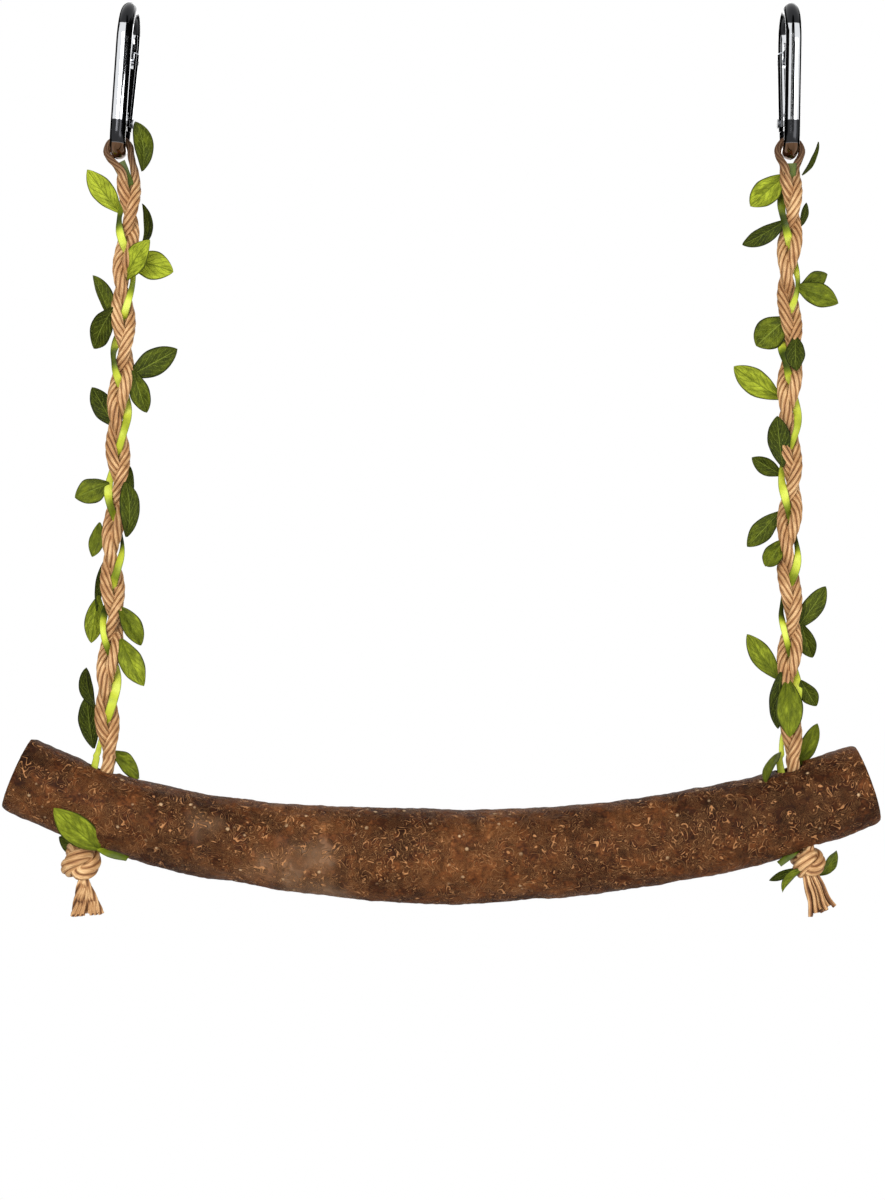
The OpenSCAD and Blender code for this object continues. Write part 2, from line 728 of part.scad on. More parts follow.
module perch_branch() {
    rings = [for (share = ring_shares) perch_ring(share)];
    color(bark) difference() {
        translate(perch_origin) loft(rings);
        drilled(left_hole_mid, left_hole_lean);
        drilled(right_hole_mid, -right_hole_lean);
    }
}

module drilled(middle, lean) {
    translate(middle) rotate([0, lean, 0]) cylinder(d = hole_d, h = 2 * perch_d, center = true, $fn = 48);
}

module left_hook_body() { on_left_hook() hook_body(); }
module left_gate_rivet() { on_left_hook() gate_rivet(); }
module left_gate() { on_left_hook() gate(); }
module left_latch_pin() { on_left_hook() latch_pin(); }
module left_gate_spring() { on_left_hook() gate_spring(); }
module left_gate_plunger() { on_left_hook() gate_plunger(); }
module left_rope_loop() { rope_loop(left_start, left_eye_x, left_eye_wire_z); }
module left_hook_leaf() { hook_leaf(left_hook_leaf_shares, left_start, left_eye_x, left_eye_wire_z); }
module left_cord_a() { on_left_rope() plait_cord(cord_a_start, left_plait_length); }
module left_cord_b() { on_left_rope() plait_cord(cord_b_start, left_plait_length); }
module left_vine_ribbon() { on_left_rope() vine_ribbon(left_plait_length); }
module left_upper_leaves() { on_left_rope() rope_leaves(left_upper_leaf_shares, left_plait_length); }
module left_middle_leaves() { on_left_rope() rope_leaves(left_middle_leaf_shares, left_plait_length); }
module left_lower_leaves() { on_left_rope() rope_leaves(left_lower_leaf_shares, left_plait_length); }
module left_knot() { knot(left_knot_top, left_hole_lean, left_knot_d, left_knot_h); }
module left_tail() {
    tail(left_knot_top, left_hole_lean, left_knot_h, left_tail_length, -left_tail_lean, left_tail_shift);
}
module left_hole_cords() {
    hole_cords(left_foot, left_mouth, left_knot_top, left_rope_lean, left_hole_lean);
}
module left_ribbon_end() {
    ribbon_end(left_foot, left_mouth, left_knot_top, left_rope_lean, left_hole_lean);
}
module left_knot_leaves() {
    knot_leaves(left_knot_leaf_shares, left_knot_top, left_hole_lean, left_knot_d, left_knot_h);
}
module left_mouth_leaf() {
    mouth_leaves(left_mouth_leaf_shares, left_foot, left_rope_lean);
}

module right_hook_body() { on_right_hook() hook_body(); }
module right_gate_rivet() { on_right_hook() gate_rivet(); }
module right_gate() { on_right_hook() gate(); }
module right_latch_pin() { on_right_hook() latch_pin(); }
module right_gate_spring() { on_right_hook() gate_spring(); }
module right_gate_plunger() { on_right_hook() gate_plunger(); }
module right_rope_loop() { rope_loop(right_start, right_hook_x, eye_wire_z); }
module right_hook_leaf() { hook_leaf(right_hook_leaf_shares, right_start, right_hook_x, eye_wire_z); }
module right_cord_a() { on_right_rope() plait_cord(cord_a_start, right_plait_length); }
module right_cord_b() { on_right_rope() plait_cord(cord_b_start, right_plait_length); }
module right_vine_ribbon() { on_right_rope() vine_ribbon(right_plait_length); }
module right_upper_leaves() { on_right_rope() rope_leaves(right_upper_leaf_shares, right_plait_length); }
module right_middle_leaves() { on_right_rope() rope_leaves(right_middle_leaf_shares, right_plait_length); }
module right_lower_leaves() { on_right_rope() rope_leaves(right_lower_leaf_shares, right_plait_length); }
module right_knot() { knot(right_knot_top, -right_hole_lean, right_knot_d, right_knot_h); }
module right_tail() {
    tail(right_knot_top, -right_hole_lean, right_knot_h, right_tail_length, -right_tail_lean, 0);
}
module right_hole_cords() {
    hole_cords(right_foot, right_mouth, right_knot_top, right_rope_lean, -right_hole_lean);
}
module right_ribbon_end() {
    ribbon_end(right_foot, right_mouth, right_knot_top, right_rope_lean, -right_hole_lean);
}
module right_knot_leaves() {
    knot_leaves(right_knot_leaf_shares, right_knot_top, -right_hole_lean, right_knot_d, right_knot_h);
}
module right_mouth_leaves() {
    mouth_leaves(right_mouth_leaf_shares, right_foot, right_rope_lean);
}

left_hook_body();
left_gate_rivet();
left_gate();
left_latch_pin();
left_gate_spring();
left_gate_plunger();
left_rope_loop();
left_hook_leaf();
left_cord_a();
left_cord_b();
left_vine_ribbon();
left_upper_leaves();
left_middle_leaves();
left_lower_leaves();
left_hole_cords();
left_ribbon_end();
left_knot();
left_tail();
left_knot_leaves();
left_mouth_leaf();
right_hook_body();
right_gate_rivet();
right_gate();
right_latch_pin();
right_gate_spring();
right_gate_plunger();
right_rope_loop();
right_hook_leaf();
right_cord_a();
right_cord_b();
right_vine_ribbon();
right_upper_leaves();
right_middle_leaves();
right_lower_leaves();
right_hole_cords();
right_ribbon_end();
right_knot();
right_tail();
right_knot_leaves();
right_mouth_leaves();
perch_branch();
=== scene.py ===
import json
from math import atan2, ceil, cos, floor, pi, radians, sin, tau

import bmesh
import bpy
from bpy.props import FloatProperty, FloatVectorProperty, IntProperty, PointerProperty
from mathutils import Matrix, Vector, noise
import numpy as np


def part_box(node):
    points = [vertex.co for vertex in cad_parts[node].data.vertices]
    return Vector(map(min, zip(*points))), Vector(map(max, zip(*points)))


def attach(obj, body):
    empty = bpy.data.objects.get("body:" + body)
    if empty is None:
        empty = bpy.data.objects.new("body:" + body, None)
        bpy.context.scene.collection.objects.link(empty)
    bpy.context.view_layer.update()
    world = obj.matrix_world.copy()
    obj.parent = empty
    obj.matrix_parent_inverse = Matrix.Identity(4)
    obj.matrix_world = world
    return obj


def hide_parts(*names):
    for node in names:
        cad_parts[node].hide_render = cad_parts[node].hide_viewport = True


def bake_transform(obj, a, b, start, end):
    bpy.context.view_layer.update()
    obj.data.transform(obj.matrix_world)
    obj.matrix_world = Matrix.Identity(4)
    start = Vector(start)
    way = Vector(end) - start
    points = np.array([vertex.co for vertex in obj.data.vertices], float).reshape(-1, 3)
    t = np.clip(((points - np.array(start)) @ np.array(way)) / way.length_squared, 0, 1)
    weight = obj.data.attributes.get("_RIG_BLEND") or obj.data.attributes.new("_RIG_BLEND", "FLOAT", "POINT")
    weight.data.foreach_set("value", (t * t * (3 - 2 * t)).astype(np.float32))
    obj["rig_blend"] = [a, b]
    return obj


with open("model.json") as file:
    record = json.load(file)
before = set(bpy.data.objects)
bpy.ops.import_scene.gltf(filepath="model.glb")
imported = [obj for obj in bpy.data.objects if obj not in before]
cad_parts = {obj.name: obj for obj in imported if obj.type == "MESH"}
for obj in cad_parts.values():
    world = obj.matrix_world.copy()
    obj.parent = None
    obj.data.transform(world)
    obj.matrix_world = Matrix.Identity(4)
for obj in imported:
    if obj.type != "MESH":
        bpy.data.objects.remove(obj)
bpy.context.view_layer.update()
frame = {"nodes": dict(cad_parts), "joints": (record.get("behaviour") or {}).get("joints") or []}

bl_info = {
    "name": "Bird Swing",
    "version": (1, 0, 0),
    "blender": (4, 5, 0),
    "location": "View3D > Sidebar > Bird Swing",
    "description": "A bowed branch perch on two plaited ropes with leafy vine, hung from spring snap hooks",
    "category": "Add Mesh",
}

MM = 0.001
SIDES = ("left", "right")


def display(red, green, blue):
    """A colour as it shows on a screen, from 0 to 255, turned into the linear values that shaders take."""
    shares = [channel / 255 for channel in (red, green, blue)]
    return tuple(s / 12.92 if s <= 0.04045 else ((s + 0.055) / 1.055) ** 2.4 for s in shares)


def colour_property(name, description, *shown):
    look = {"subtype": "COLOR", "size": 3, "min": 0, "max": 1}
    return FloatVectorProperty(name=name, description=description, default=display(*shown), **look)


def length_property(name, description, millimetres):
    return FloatProperty(name=name, description=description, default=millimetres * MM, unit="LENGTH")


def angle_property(name, description, degrees):
    return FloatProperty(name=name, description=description, default=radians(degrees), unit="ROTATION")


def share_property(name, description, default):
    return FloatProperty(name=name, description=description, default=default, subtype="FACTOR")


class HookLooks(bpy.types.PropertyGroup):
    chrome: colour_property("Chrome", "Colour of the polished hooks", 226, 228, 231)
    # The darkened chrome colour is a painted dark reflection, on the top bend and on a band above the eye
    painted_dark: colour_property("Smoked chrome", "Colour of the darkened parts of the hooks", 22, 22, 25)
    # The eye's colour is a painted reflection of the rope round it
    painted_rope_reflection: colour_property("Bronzed chrome", "Colour of the eye, which mirrors the rope", 104, 78, 58)
    steel: colour_property("Steel", "Colour of the pins and springs", 150, 151, 155)
    left_bar_x: length_property("Left bar", "Place of the left hook at the bar that it hangs on", -105.5)
    right_bar_x: length_property("Right bar", "Place of the right hook at the bar that it hangs on", 105.5)
    left_lean: angle_property("Left lean", "Lean of the left hook, its foot to the left", 5)
    # Heights that bound the painted dark reflection on each hook
    cap_foot: length_property("Cap foot", "Height down to which a hook's top bend is smoked", -3.4)
    reflection_band_top: length_property("Sleeve top", "Height of the top of the smoked sleeve", -33.7)
    reflection_band_foot: length_property("Sleeve foot", "Height of the foot of the smoked sleeve", -40.8)


class RopeSizes(bpy.types.PropertyGroup):
    cord_d: length_property("Cord", "Diameter of the twisted jute cord", 3.9)
    plies: IntProperty(name="Plies", description="Twisted strands in one cord", default=6, min=2, max=8)
    lay_length: length_property("Lay", "Length of one full turn of a cord's twist", 22)
    plait_reach: length_property("Plait reach", "Sideways reach of a cord in the plait", 2.15)
    plait_depth: length_property("Plait depth", "Front to back reach of a cord in the plait", 2.3)
    packed_cord_d: length_property("Packed cord", "Diameter of the cord in the packed model", 3.2)
    packed_reach: length_property("Packed reach", "Sideways reach of a strand in the packed model", 3.1)
    packed_depth: length_property("Packed depth", "Front to back reach of a strand in the packed model", 2.5)
    quarters: IntProperty(name="Quarter turns", description="Quarter turns of the plait", default=17)
    joint_gap: length_property("Joint gap", "Room between the plait and the cords at its ends", 0.45)
    soft_gap: length_property("Soft gap", "Room between soft pieces in the packed model", 0.3)
    rope_rise: length_property("Rope rise", "Height of the rope's lowest bend above the hole", 2.6)
    eye_wire_d: length_property("Eye wire", "Diameter of the wire that a rope hangs on", 5)
    bight_ease: length_property("Bight ease", "Room between a cord and the eye that it hangs on", 0.15)
    bight_share: share_property("Bight share", "Thickness of a cord where it is tight round the eye", 0.6)
    # The jute's colours are painted light and shade as well as its fibres' own tones: light on the plies' outer
    # faces, middle on their sides, dark in the crevices between them
    light: colour_property("Light jute", "Colour of the jute's raised fibres", 226, 188, 138)
    pale: colour_property("Pale jute", "Colour of the jute's outer fibres", 170, 124, 79)
    middle: colour_property("Middle jute", "Colour of the jute's sides", 122, 80, 46)
    dark: colour_property("Dark jute", "Colour of the jute between its plies", 52, 30, 15)
    # The jute near the hooks is darkened with painted shade
    hook_shade: colour_property("Aged jute", "Colour of the jute near the hooks", 70, 45, 30)


class VineSizes(bpy.types.PropertyGroup):
    ribbon_w: length_property("Ribbon width", "Width of the vine's ribbon", 2.4)
    ribbon_t: length_property("Ribbon thickness", "Thickness of the vine's ribbon", 0.4)
    ribbon_reach: length_property("Ribbon reach", "Sideways reach of the ribbon in the plait", 2.5)
    ribbon_depth: length_property("Ribbon depth", "Front to back reach of the ribbon in the plait", 3.3)
    packed_ribbon_w: length_property("Packed ribbon width", "Width of the ribbon in the packed model", 3.1)
    packed_ribbon_t: length_property("Packed ribbon thickness", "Thickness in the packed model", 0.6)
    leaf_length: length_property("Leaf length", "Length of a full leaf blade", 16)
    leaf_width: length_property("Leaf width", "Width of a full leaf blade", 9)
    leaf_t: length_property("Leaf thickness", "Thickness of a leaf", 0.35)
    leaf_base: length_property("Leaf base", "Length of a leaf's base in the rope", 3.4)
    stalk_d: length_property("Stalk", "Diameter of a leaf's stalk", 0.9)
    stalk_share: share_property("Stalk share", "Stalk of a leaf as a share of the full blade", 0.08)
    # The ribbon's colour is painted light where it faces the front, and its dark colour is painted shade where
    # it turns edge on, at its ends and along its edges
    ribbon: colour_property("Ribbon", "Colour of the ribbon's front", 186, 196, 58)
    ribbon_shade: colour_property("Dark ribbon", "Colour of the ribbon's turned sides", 50, 62, 10)
    # The leaf colours are painted light and shade as well as the leaves' own tones: the palest for lit leaves,
    # the deep and dark ones for leaves in shade
    leaf_light: colour_property("Light leaf", "Colour of the palest leaves", 168, 180, 50)
    leaf_middle: colour_property("Middle leaf", "Colour of most leaves", 102, 111, 22)
    leaf_deep: colour_property("Deep leaf", "Colour of the shaded leaves", 58, 66, 8)
    leaf_dark: colour_property("Dark leaf", "Colour of the deepest leaves", 30, 37, 3)


class PerchSizes(bpy.types.PropertyGroup):
    chord: length_property("Chord", "Distance between the centres of the sawn ends", 272)
    sag: length_property("Sag", "Depth of the bow below the line between the ends", 24.9)
    thickness: length_property("Thickness", "Greatest diameter of the branch", 30.3)
    tilt: angle_property("Tilt", "Fall of the right end below the left end", 0.75)
    settled: length_property("Settled", "Drop of the bark below the packed branch", 1.1)
    hole_d: length_property("Hole", "Diameter of the drilled holes", 10.4)
    left_inset: length_property("Left inset", "Distance of the left hole from the left end", 25)
    left_hole_lean: angle_property("Left hole lean", "Lean of the left hole", 14.2)
    right_hole_lean: angle_property("Right hole lean", "Lean of the right hole", 10)
    bark_dark: colour_property("Dark bark", "Colour in the bark's hollows", 28, 13, 5)
    bark_warm: colour_property("Warm bark", "Main colour of the bark", 105, 61, 31)
    bark_pale: colour_property("Pale bark", "Colour of the bark's worn patches", 140, 110, 84)
    scratch: colour_property("Scratch", "Colour of the fine curled scratches", 184, 130, 84)
    wood: colour_property("Wood", "Colour of the sawn wood", 196, 158, 112)


class KnotSizes(bpy.types.PropertyGroup):
    left_d: length_property("Left knot", "Diameter of the left knot", 13.2)
    left_h: length_property("Left knot height", "Height of the left knot", 12)
    right_d: length_property("Right knot", "Diameter of the right knot", 12)
    right_h: length_property("Right knot height", "Height of the right knot", 9.6)
    left_tail: length_property("Left tail", "Length of the plaited tail", 11)
    right_tail: length_property("Right tail", "Length of the frayed tail", 12)
    left_tail_lean: angle_property("Left tail lean", "Lean of the left tail's foot to the right", 5)
    right_tail_lean: angle_property("Right tail lean", "Lean of the right tail's foot to the right", 18)
    left_tail_shift: length_property("Left tail shift", "Shift of the left tail to the right", 2.2)


class StageLooks(bpy.types.PropertyGroup):
    camera_distance: length_property("Camera distance", "Distance of the camera from the swing", 900)
    view_height: length_property("View height", "Height that the picture takes in at the swing", 384)
    aim_x: length_property("Aim across", "Middle of the picture, across", -5.6)
    aim_z: length_property("Aim up", "Middle of the picture, up", -186)
    floor_z: length_property("Floor", "Height of the floor under the swing", -620)


GROUPS = {
    "hook_looks": HookLooks,
    "rope_sizes": RopeSizes,
    "vine_sizes": VineSizes,
    "perch_sizes": PerchSizes,
    "knot_sizes": KnotSizes,
    "stage_looks": StageLooks,
}


def settings(group):
    return getattr(bpy.context.scene, "bird_swing_" + group)


# Mesh helpers


def new_bmesh():
    bm = bmesh.new()
    bm.verts.layers.float_vector.new("lay")
    bm.verts.layers.float.new("tone")
    return bm


def mesh_of(name, bm):
    mesh = bpy.data.meshes.new(name)
    bm.to_mesh(mesh)
    bm.free()
    return mesh


def linked(name, data):
    """A new object in the scene, at the origin."""
    made = bpy.data.objects.new(name, data)
    bpy.context.scene.collection.objects.link(made)
    return made


def finished_piece(name, bm, finish, sharp_angle=radians(50)):
    """Makes the mesh of a piece into an object that stands in the scene."""
    bmesh.ops.recalc_face_normals(bm, faces=bm.faces)
    mesh = mesh_of(name, bm)
    mesh.shade_smooth()
    if sharp_angle:
        mesh.set_sharp_from_angle(angle=sharp_angle)
    mesh.materials.append(finish)
    piece = linked(name, mesh)
    return piece


def bent_grid(bm, along, around, place):
    """A tube of quads whose corners are set in place by a function of their row and column.

    The function gives a corner's place, its lay for the material, and its share of painted light and shade,
    which for the leaves also holds their own tones."""
    lay = bm.verts.layers.float_vector["lay"]
    tone = bm.verts.layers.float["tone"]
    made = bmesh.ops.create_grid(bm, x_segments=along, y_segments=around, size=0.5)["verts"]
    for v in made:
        row = round((v.co.x + 0.5) * along)
        column = round((v.co.y + 0.5) * around)
        v.co, v[lay], v[tone] = place(row, column % around)
    bmesh.ops.remove_doubles(bm, verts=made, dist=1e-6 * MM)


def close_ends(bm):
    """Fills every open end of the tubes in a mesh."""
    rims = [e for e in bm.edges if e.is_boundary]
    bmesh.ops.holes_fill(bm, edges=rims, sides=0)


def eased(share):
    """A share from 0 to 1 that starts and ends gently."""
    return share * share * (3 - 2 * share)


def curve_through(values, share):
    """A smooth curve through equally spaced values, at a share along it from 0 to 1."""
    place = share * (len(values) - 1)
    i = min(floor(place), len(values) - 2)
    f = place - i
    p1, p2 = values[i], values[i + 1]
    p0 = values[i - 1] if i > 0 else p1 * 2 - p2
    p3 = values[i + 2] if i + 2 < len(values) else p2 * 2 - p1
    return (
        p1
        + (p2 - p0) * (f / 2)
        + (p0 * 2 - p1 * 5 + p2 * 4 - p3) * (f * f / 2)
        + (p1 * 3 - p2 * 3 + p3 - p0) * (f * f * f / 2)
    )


def distances(route):
    """How far each point of a route is from its first point, along the route."""
    reached = [0.0]
    for a, b in zip(route, route[1:]):
        reached.append(reached[-1] + (b - a).length)
    return reached


def evenly_spaced(points, step):
    """The same route with its points about a step apart."""
    reached = distances(points)
    count = max(2, ceil(reached[-1] / step))
    route, i = [], 0
    for n in range(count + 1):
        along = reached[-1] * n / count
        while i < len(points) - 2 and reached[i + 1] < along:
            i += 1
        span = reached[i + 1] - reached[i]
        route.append(points[i].lerp(points[i + 1], (along - reached[i]) / span if span else 0))
    return route


def directions(route):
    return [
        (route[min(i + 1, len(route) - 1)] - route[max(i - 1, 0)]).normalized() for i in range(len(route))
    ]


def carried_normals(route, first):
    """Normals along a route that don't turn about it."""
    normals, normal = [], first
    for way in directions(route):
        normal = (normal - way * normal.dot(way)).normalized()
        normals.append(normal)
    return normals


def add_tube(bm, route, radii, sides, outward, tone=0.5):
    """A round tube along a route. outward gives the side of each ring that faces out of the cord, which the
    jute paints light, with painted shade on the side that faces in.
    """
    ways = directions(route)
    reached = distances(route)

    def place(row, column):
        way = ways[row]
        u = (outward[row] - way * outward[row].dot(way)).normalized()
        v = way.cross(u)
        angle = tau * column / sides
        p = route[row] + (u * cos(angle) + v * sin(angle)) * radii[row]
        return p, (cos(angle), sin(angle), reached[row]), tone

    bent_grid(bm, len(route) - 1, sides, place)


# How much thicker the plies of a cord are than round ones that just touch, since they are squeezed together
PLY_SQUEEZE = 1.3


def add_twisted_cord(bm, route, first_normal, cord_d, plies, lay_length, laid=None, swell=None, sides=10):
    """A cord of plies laid round each other along a route of close, even points.

    laid gives the length of twist at each point, and swell the share of the full thickness there."""
    ply_r = cord_d / 2 / (1 + 1 / sin(pi / plies)) * PLY_SQUEEZE
    helix_r = cord_d / 2 - ply_r
    ways = directions(route)
    normals = carried_normals(route, first_normal)
    laid = laid or distances(route)
    swell = swell or [1.0] * len(route)
    for k in range(plies):
        centres, outward = [], []
        for p, way, normal, reach, size in zip(route, ways, normals, laid, swell):
            turn = tau * (k / plies + reach / lay_length)
            side = normal * cos(turn) + way.cross(normal) * sin(turn)
            centres.append(p + side * (helix_r * size))
            outward.append(side)
        add_tube(bm, centres, [ply_r * size for size in swell], sides, outward, tone=k / plies)


# Places on the swing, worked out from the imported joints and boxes

joints = {j["name"]: j for j in frame["joints"]}

# Where on the plait's figure of eight its three strands start
CORD_A_START, CORD_B_START, RIBBON_START = radians(-60), radians(60), radians(180)
# How much faster than it falls a leg of the loop draws in
LEG_DRAW = 1.3
# Length over which a rope bends at each of its ends
BEND_LENGTH = 9 * MM


def pivot(name):
    return Vector(joints[name]["pos_m"])


def down(lean):
    """Direction down a rope or a hole that leans by an angle, positive when its foot goes to the left."""
    return Vector((-sin(lean), 0, -cos(lean)))


def figure_of_eight(angle, reach, depth):
    """The place of a strand across the plait, from an angle that runs on as it goes down."""
    return Vector((reach * sin(angle), depth * sin(2 * angle), 0))


def travel(share):
    """How far the strands' angle has run on, at a share of the way down."""
    return radians(90) * settings("rope_sizes").quarters * share


def packed_strand(angle):
    sizes = settings("rope_sizes")
    return figure_of_eight(angle, sizes.packed_reach, sizes.packed_depth)


class Rope:
    """One of the two ropes, with the places that its strands pass through."""

    def __init__(self, side):
        sizes, perch, knot = settings("rope_sizes"), settings("perch_sizes"), settings("knot_sizes")
        left = side == "left"
        self.side = side
        self.start = pivot("sway" if left else "right_loop_turn")
        self.foot = pivot("perch_level" if left else "right_rope_lean")
        reach = self.foot - self.start
        self.lean = atan2(-reach.x, -reach.z)
        self.plait_length = reach.length - 2 * sizes.joint_gap
        self.place = Matrix.Translation(self.start) @ Matrix.Rotation(self.lean, 4, "Y")
        self.hole_lean = perch.left_hole_lean if left else -perch.right_hole_lean
        self.mouth = self.foot + down(self.lean) * sizes.rope_rise
        low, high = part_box(side + "_knot")
        self.knot_middle = (low + high) / 2
        self.knot_h, self.knot_d = getattr(knot, side + "_h"), getattr(knot, side + "_d")
        half_knot = down(self.hole_lean) * (self.knot_h / 2)
        self.knot_top, self.knot_foot = self.knot_middle - half_knot, self.knot_middle + half_knot
        low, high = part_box(side + "_rope_loop")
        packed_r = sizes.packed_cord_d / 2
        self.packed_loop_r = sizes.eye_wire_d / 2 + packed_r + sizes.soft_gap
        inset = packed_r + self.packed_loop_r
        self.eye = Vector((low.x + inset, 0, high.z - inset))
        self.loop_body = side + "_loop"
        self.rope_body = side + "_rope"

    def in_plait(self, angle, share, reach, depth):
        """The place of a strand at an angle of the plait's figure of eight, at a share of the way down."""
        p = figure_of_eight(angle, reach, depth)
        p.z = -(settings("rope_sizes").joint_gap + self.plait_length * share)
        return self.place @ p

    def plait_route(self, start_angle, reach, depth, steps=400):
        shares = [i / steps for i in range(steps + 1)]
        return [self.in_plait(start_angle + travel(share), share, reach, depth) for share in shares]

    def hole_route(self, start_angle, reach, depth, extra, steps=40):
        """From the foot of the plait through the mouth and the hole, and on by some more."""
        end = figure_of_eight(start_angle + travel(1), reach, depth)

        def across(lean):
            return Vector((cos(lean) * end.x, end.y, -sin(lean) * end.x))

        turn = (self.lean + self.hole_lean) / 2
        knots = [
            self.foot + down(self.lean) * settings("rope_sizes").joint_gap + across(self.lean),
            self.mouth + across(turn),
            self.mouth.lerp(self.knot_top, 0.5) + across(self.hole_lean),
            self.knot_top + across(self.hole_lean),
            self.knot_top + down(self.hole_lean) * extra + across(self.hole_lean) * 0.5,
        ]
        return [curve_through(knots, i / steps) for i in range(steps + 1)]

    def bight_route(self, steps=24):
        """From the top of leg a, over the eye's wire and down to the top of leg b."""
        sizes = settings("rope_sizes")
        radius = (sizes.eye_wire_d + sizes.cord_d * sizes.bight_share) / 2 + sizes.bight_ease
        arc = [pi * i / steps for i in range(steps + 1)]
        over = [self.eye + Vector((-cos(angle), 0, sin(angle))) * radius for angle in arc]
        reach, depth = sizes.plait_reach, sizes.plait_depth
        left_leg = leg_route(over[0], self.in_plait(CORD_A_START, 0, reach, depth), steps)
        right_leg = leg_route(over[-1], self.in_plait(CORD_B_START, 0, reach, depth), steps)
        return left_leg[::-1] + over + right_leg


def leg_point(top, foot, share, draw=1):
    """A point of a leg that leaves its top and reaches its foot straight down."""
    across = top.lerp(foot, eased(min(1, draw * share)))
    return Vector((across.x, across.y, top.z + (foot.z - top.z) * share))


def leg_route(top, foot, steps):
    """A leg that draws in close under the eye and then hangs straight."""
    return [leg_point(top, foot, i / steps, LEG_DRAW) for i in range(1, steps + 1)]


# Materials


class Number:
    """One number in a material, so that shader maths reads as Python."""

    def __init__(self, nodes, socket):
        self.nodes = nodes
        self.socket = socket

    def math(self, operation, *values, swapped=False, clamp=False):
        values = [*values[::-1], self] if swapped else [self, *values]
        inputs = dict(enumerate(values))
        return self.nodes.node("ShaderNodeMath", {"operation": operation, "use_clamp": clamp}, inputs)

    def __add__(self, other):
        return self.math("ADD", other)

    def __sub__(self, other):
        return self.math("SUBTRACT", other)

    def __rsub__(self, other):
        return self.math("SUBTRACT", other, swapped=True)

    def __mul__(self, other):
        return self.math("MULTIPLY", other)

    __radd__, __rmul__ = __add__, __mul__

    def clamped(self):
        return self.math("ADD", 0, clamp=True)

    def step(self, low, high):
        """0 below low, 1 above high, and smooth between them."""
        return self.nodes.node(
            "ShaderNodeMapRange",
            {"interpolation_type": "SMOOTHSTEP"},
            {"Value": self, "From Min": low, "From Max": high},
        )


class Nodes:
    """The nodes of a material or of the world, made one by one."""

    def __init__(self, tree):
        self.tree = tree

    def fill(self, socket, value):
        if isinstance(value, Number):
            value = value.socket
        if isinstance(value, bpy.types.NodeSocket):
            self.tree.links.new(value, socket)
        elif hasattr(socket.default_value, "__len__") and len(socket.default_value) == 4 and len(value) == 3:
            socket.default_value = (*value, 1)
        else:
            socket.default_value = value

    def node(self, kind, options=None, inputs=None, output=0):
        made = self.tree.nodes.new(kind)
        for name, value in (options or {}).items():
            if name == "stops":
                self.set_stops(made.color_ramp, value)
            else:
                setattr(made, name, value)
        for name, value in (inputs or {}).items():
            self.fill(made.inputs[name], value)
        socket = made.outputs[output]
        return Number(self, socket) if socket.type == "VALUE" else socket

    def set_stops(self, ramp, stops):
        while len(ramp.elements) < len(stops):
            ramp.elements.new(0.5)
        for element, (position, colour) in zip(ramp.elements, stops):
            element.position = position
            element.color = (*colour, 1)

    def place(self):
        """Object coordinates."""
        return self.node("ShaderNodeTexCoord", output="Object")

    def attribute(self, name, output="Vector"):
        return self.node("ShaderNodeAttribute", {"attribute_name": name}, output=output)

    def ray(self, kind):
        """1 where a ray of a kind, such as Camera, meets the surface, and 0 elsewhere."""
        return self.node("ShaderNodeLightPath", output=f"Is {kind} Ray")

    def scaled(self, vector, scale):
        return self.node("ShaderNodeMapping", None, {"Vector": vector, "Scale": scale})

    def part(self, vector, axis):
        return self.node("ShaderNodeSeparateXYZ", None, {0: vector}, axis)

    def noise(self, vector, scale, detail=3.0, roughness=0.5, distortion=0.0, output="Fac"):
        shape = {"Scale": scale, "Detail": detail, "Roughness": roughness, "Distortion": distortion}
        return self.node("ShaderNodeTexNoise", None, {"Vector": vector, **shape}, output)

    def mix(self, factor, a, b, blend="MIX"):
        # The sockets for colours come after those for numbers and vectors
        inputs = {0: factor, 6: a, 7: b}
        return self.node("ShaderNodeMix", {"data_type": "RGBA", "blend_type": blend}, inputs, 2)

    def ramp(self, factor, stops):
        return self.node("ShaderNodeValToRGB", {"stops": stops}, {0: factor})

    def bump(self, height, depth):
        return self.node("ShaderNodeBump", None, {"Height": height, "Strength": 1.0, "Distance": depth})

    def cell_edges(self, vector, scale):
        """How far a point is from the edge of its cell."""
        cells = {"Vector": vector, "Scale": scale}
        return self.node("ShaderNodeTexVoronoi", {"feature": "DISTANCE_TO_EDGE"}, cells)


class Finish(Nodes):
    """A material with its Principled shader. Sockets are named with _ for a space."""

    def __init__(self, name, **values):
        self.material = bpy.data.materials.new(name)
        self.material.use_nodes = True
        super().__init__(self.material.node_tree)
        self.shader = self.tree.nodes["Principled BSDF"]
        self.set(**values)

    def set(self, **values):
        for name, value in values.items():
            self.fill(self.shader.inputs[name.replace("_", " ")], value)
        return self.material


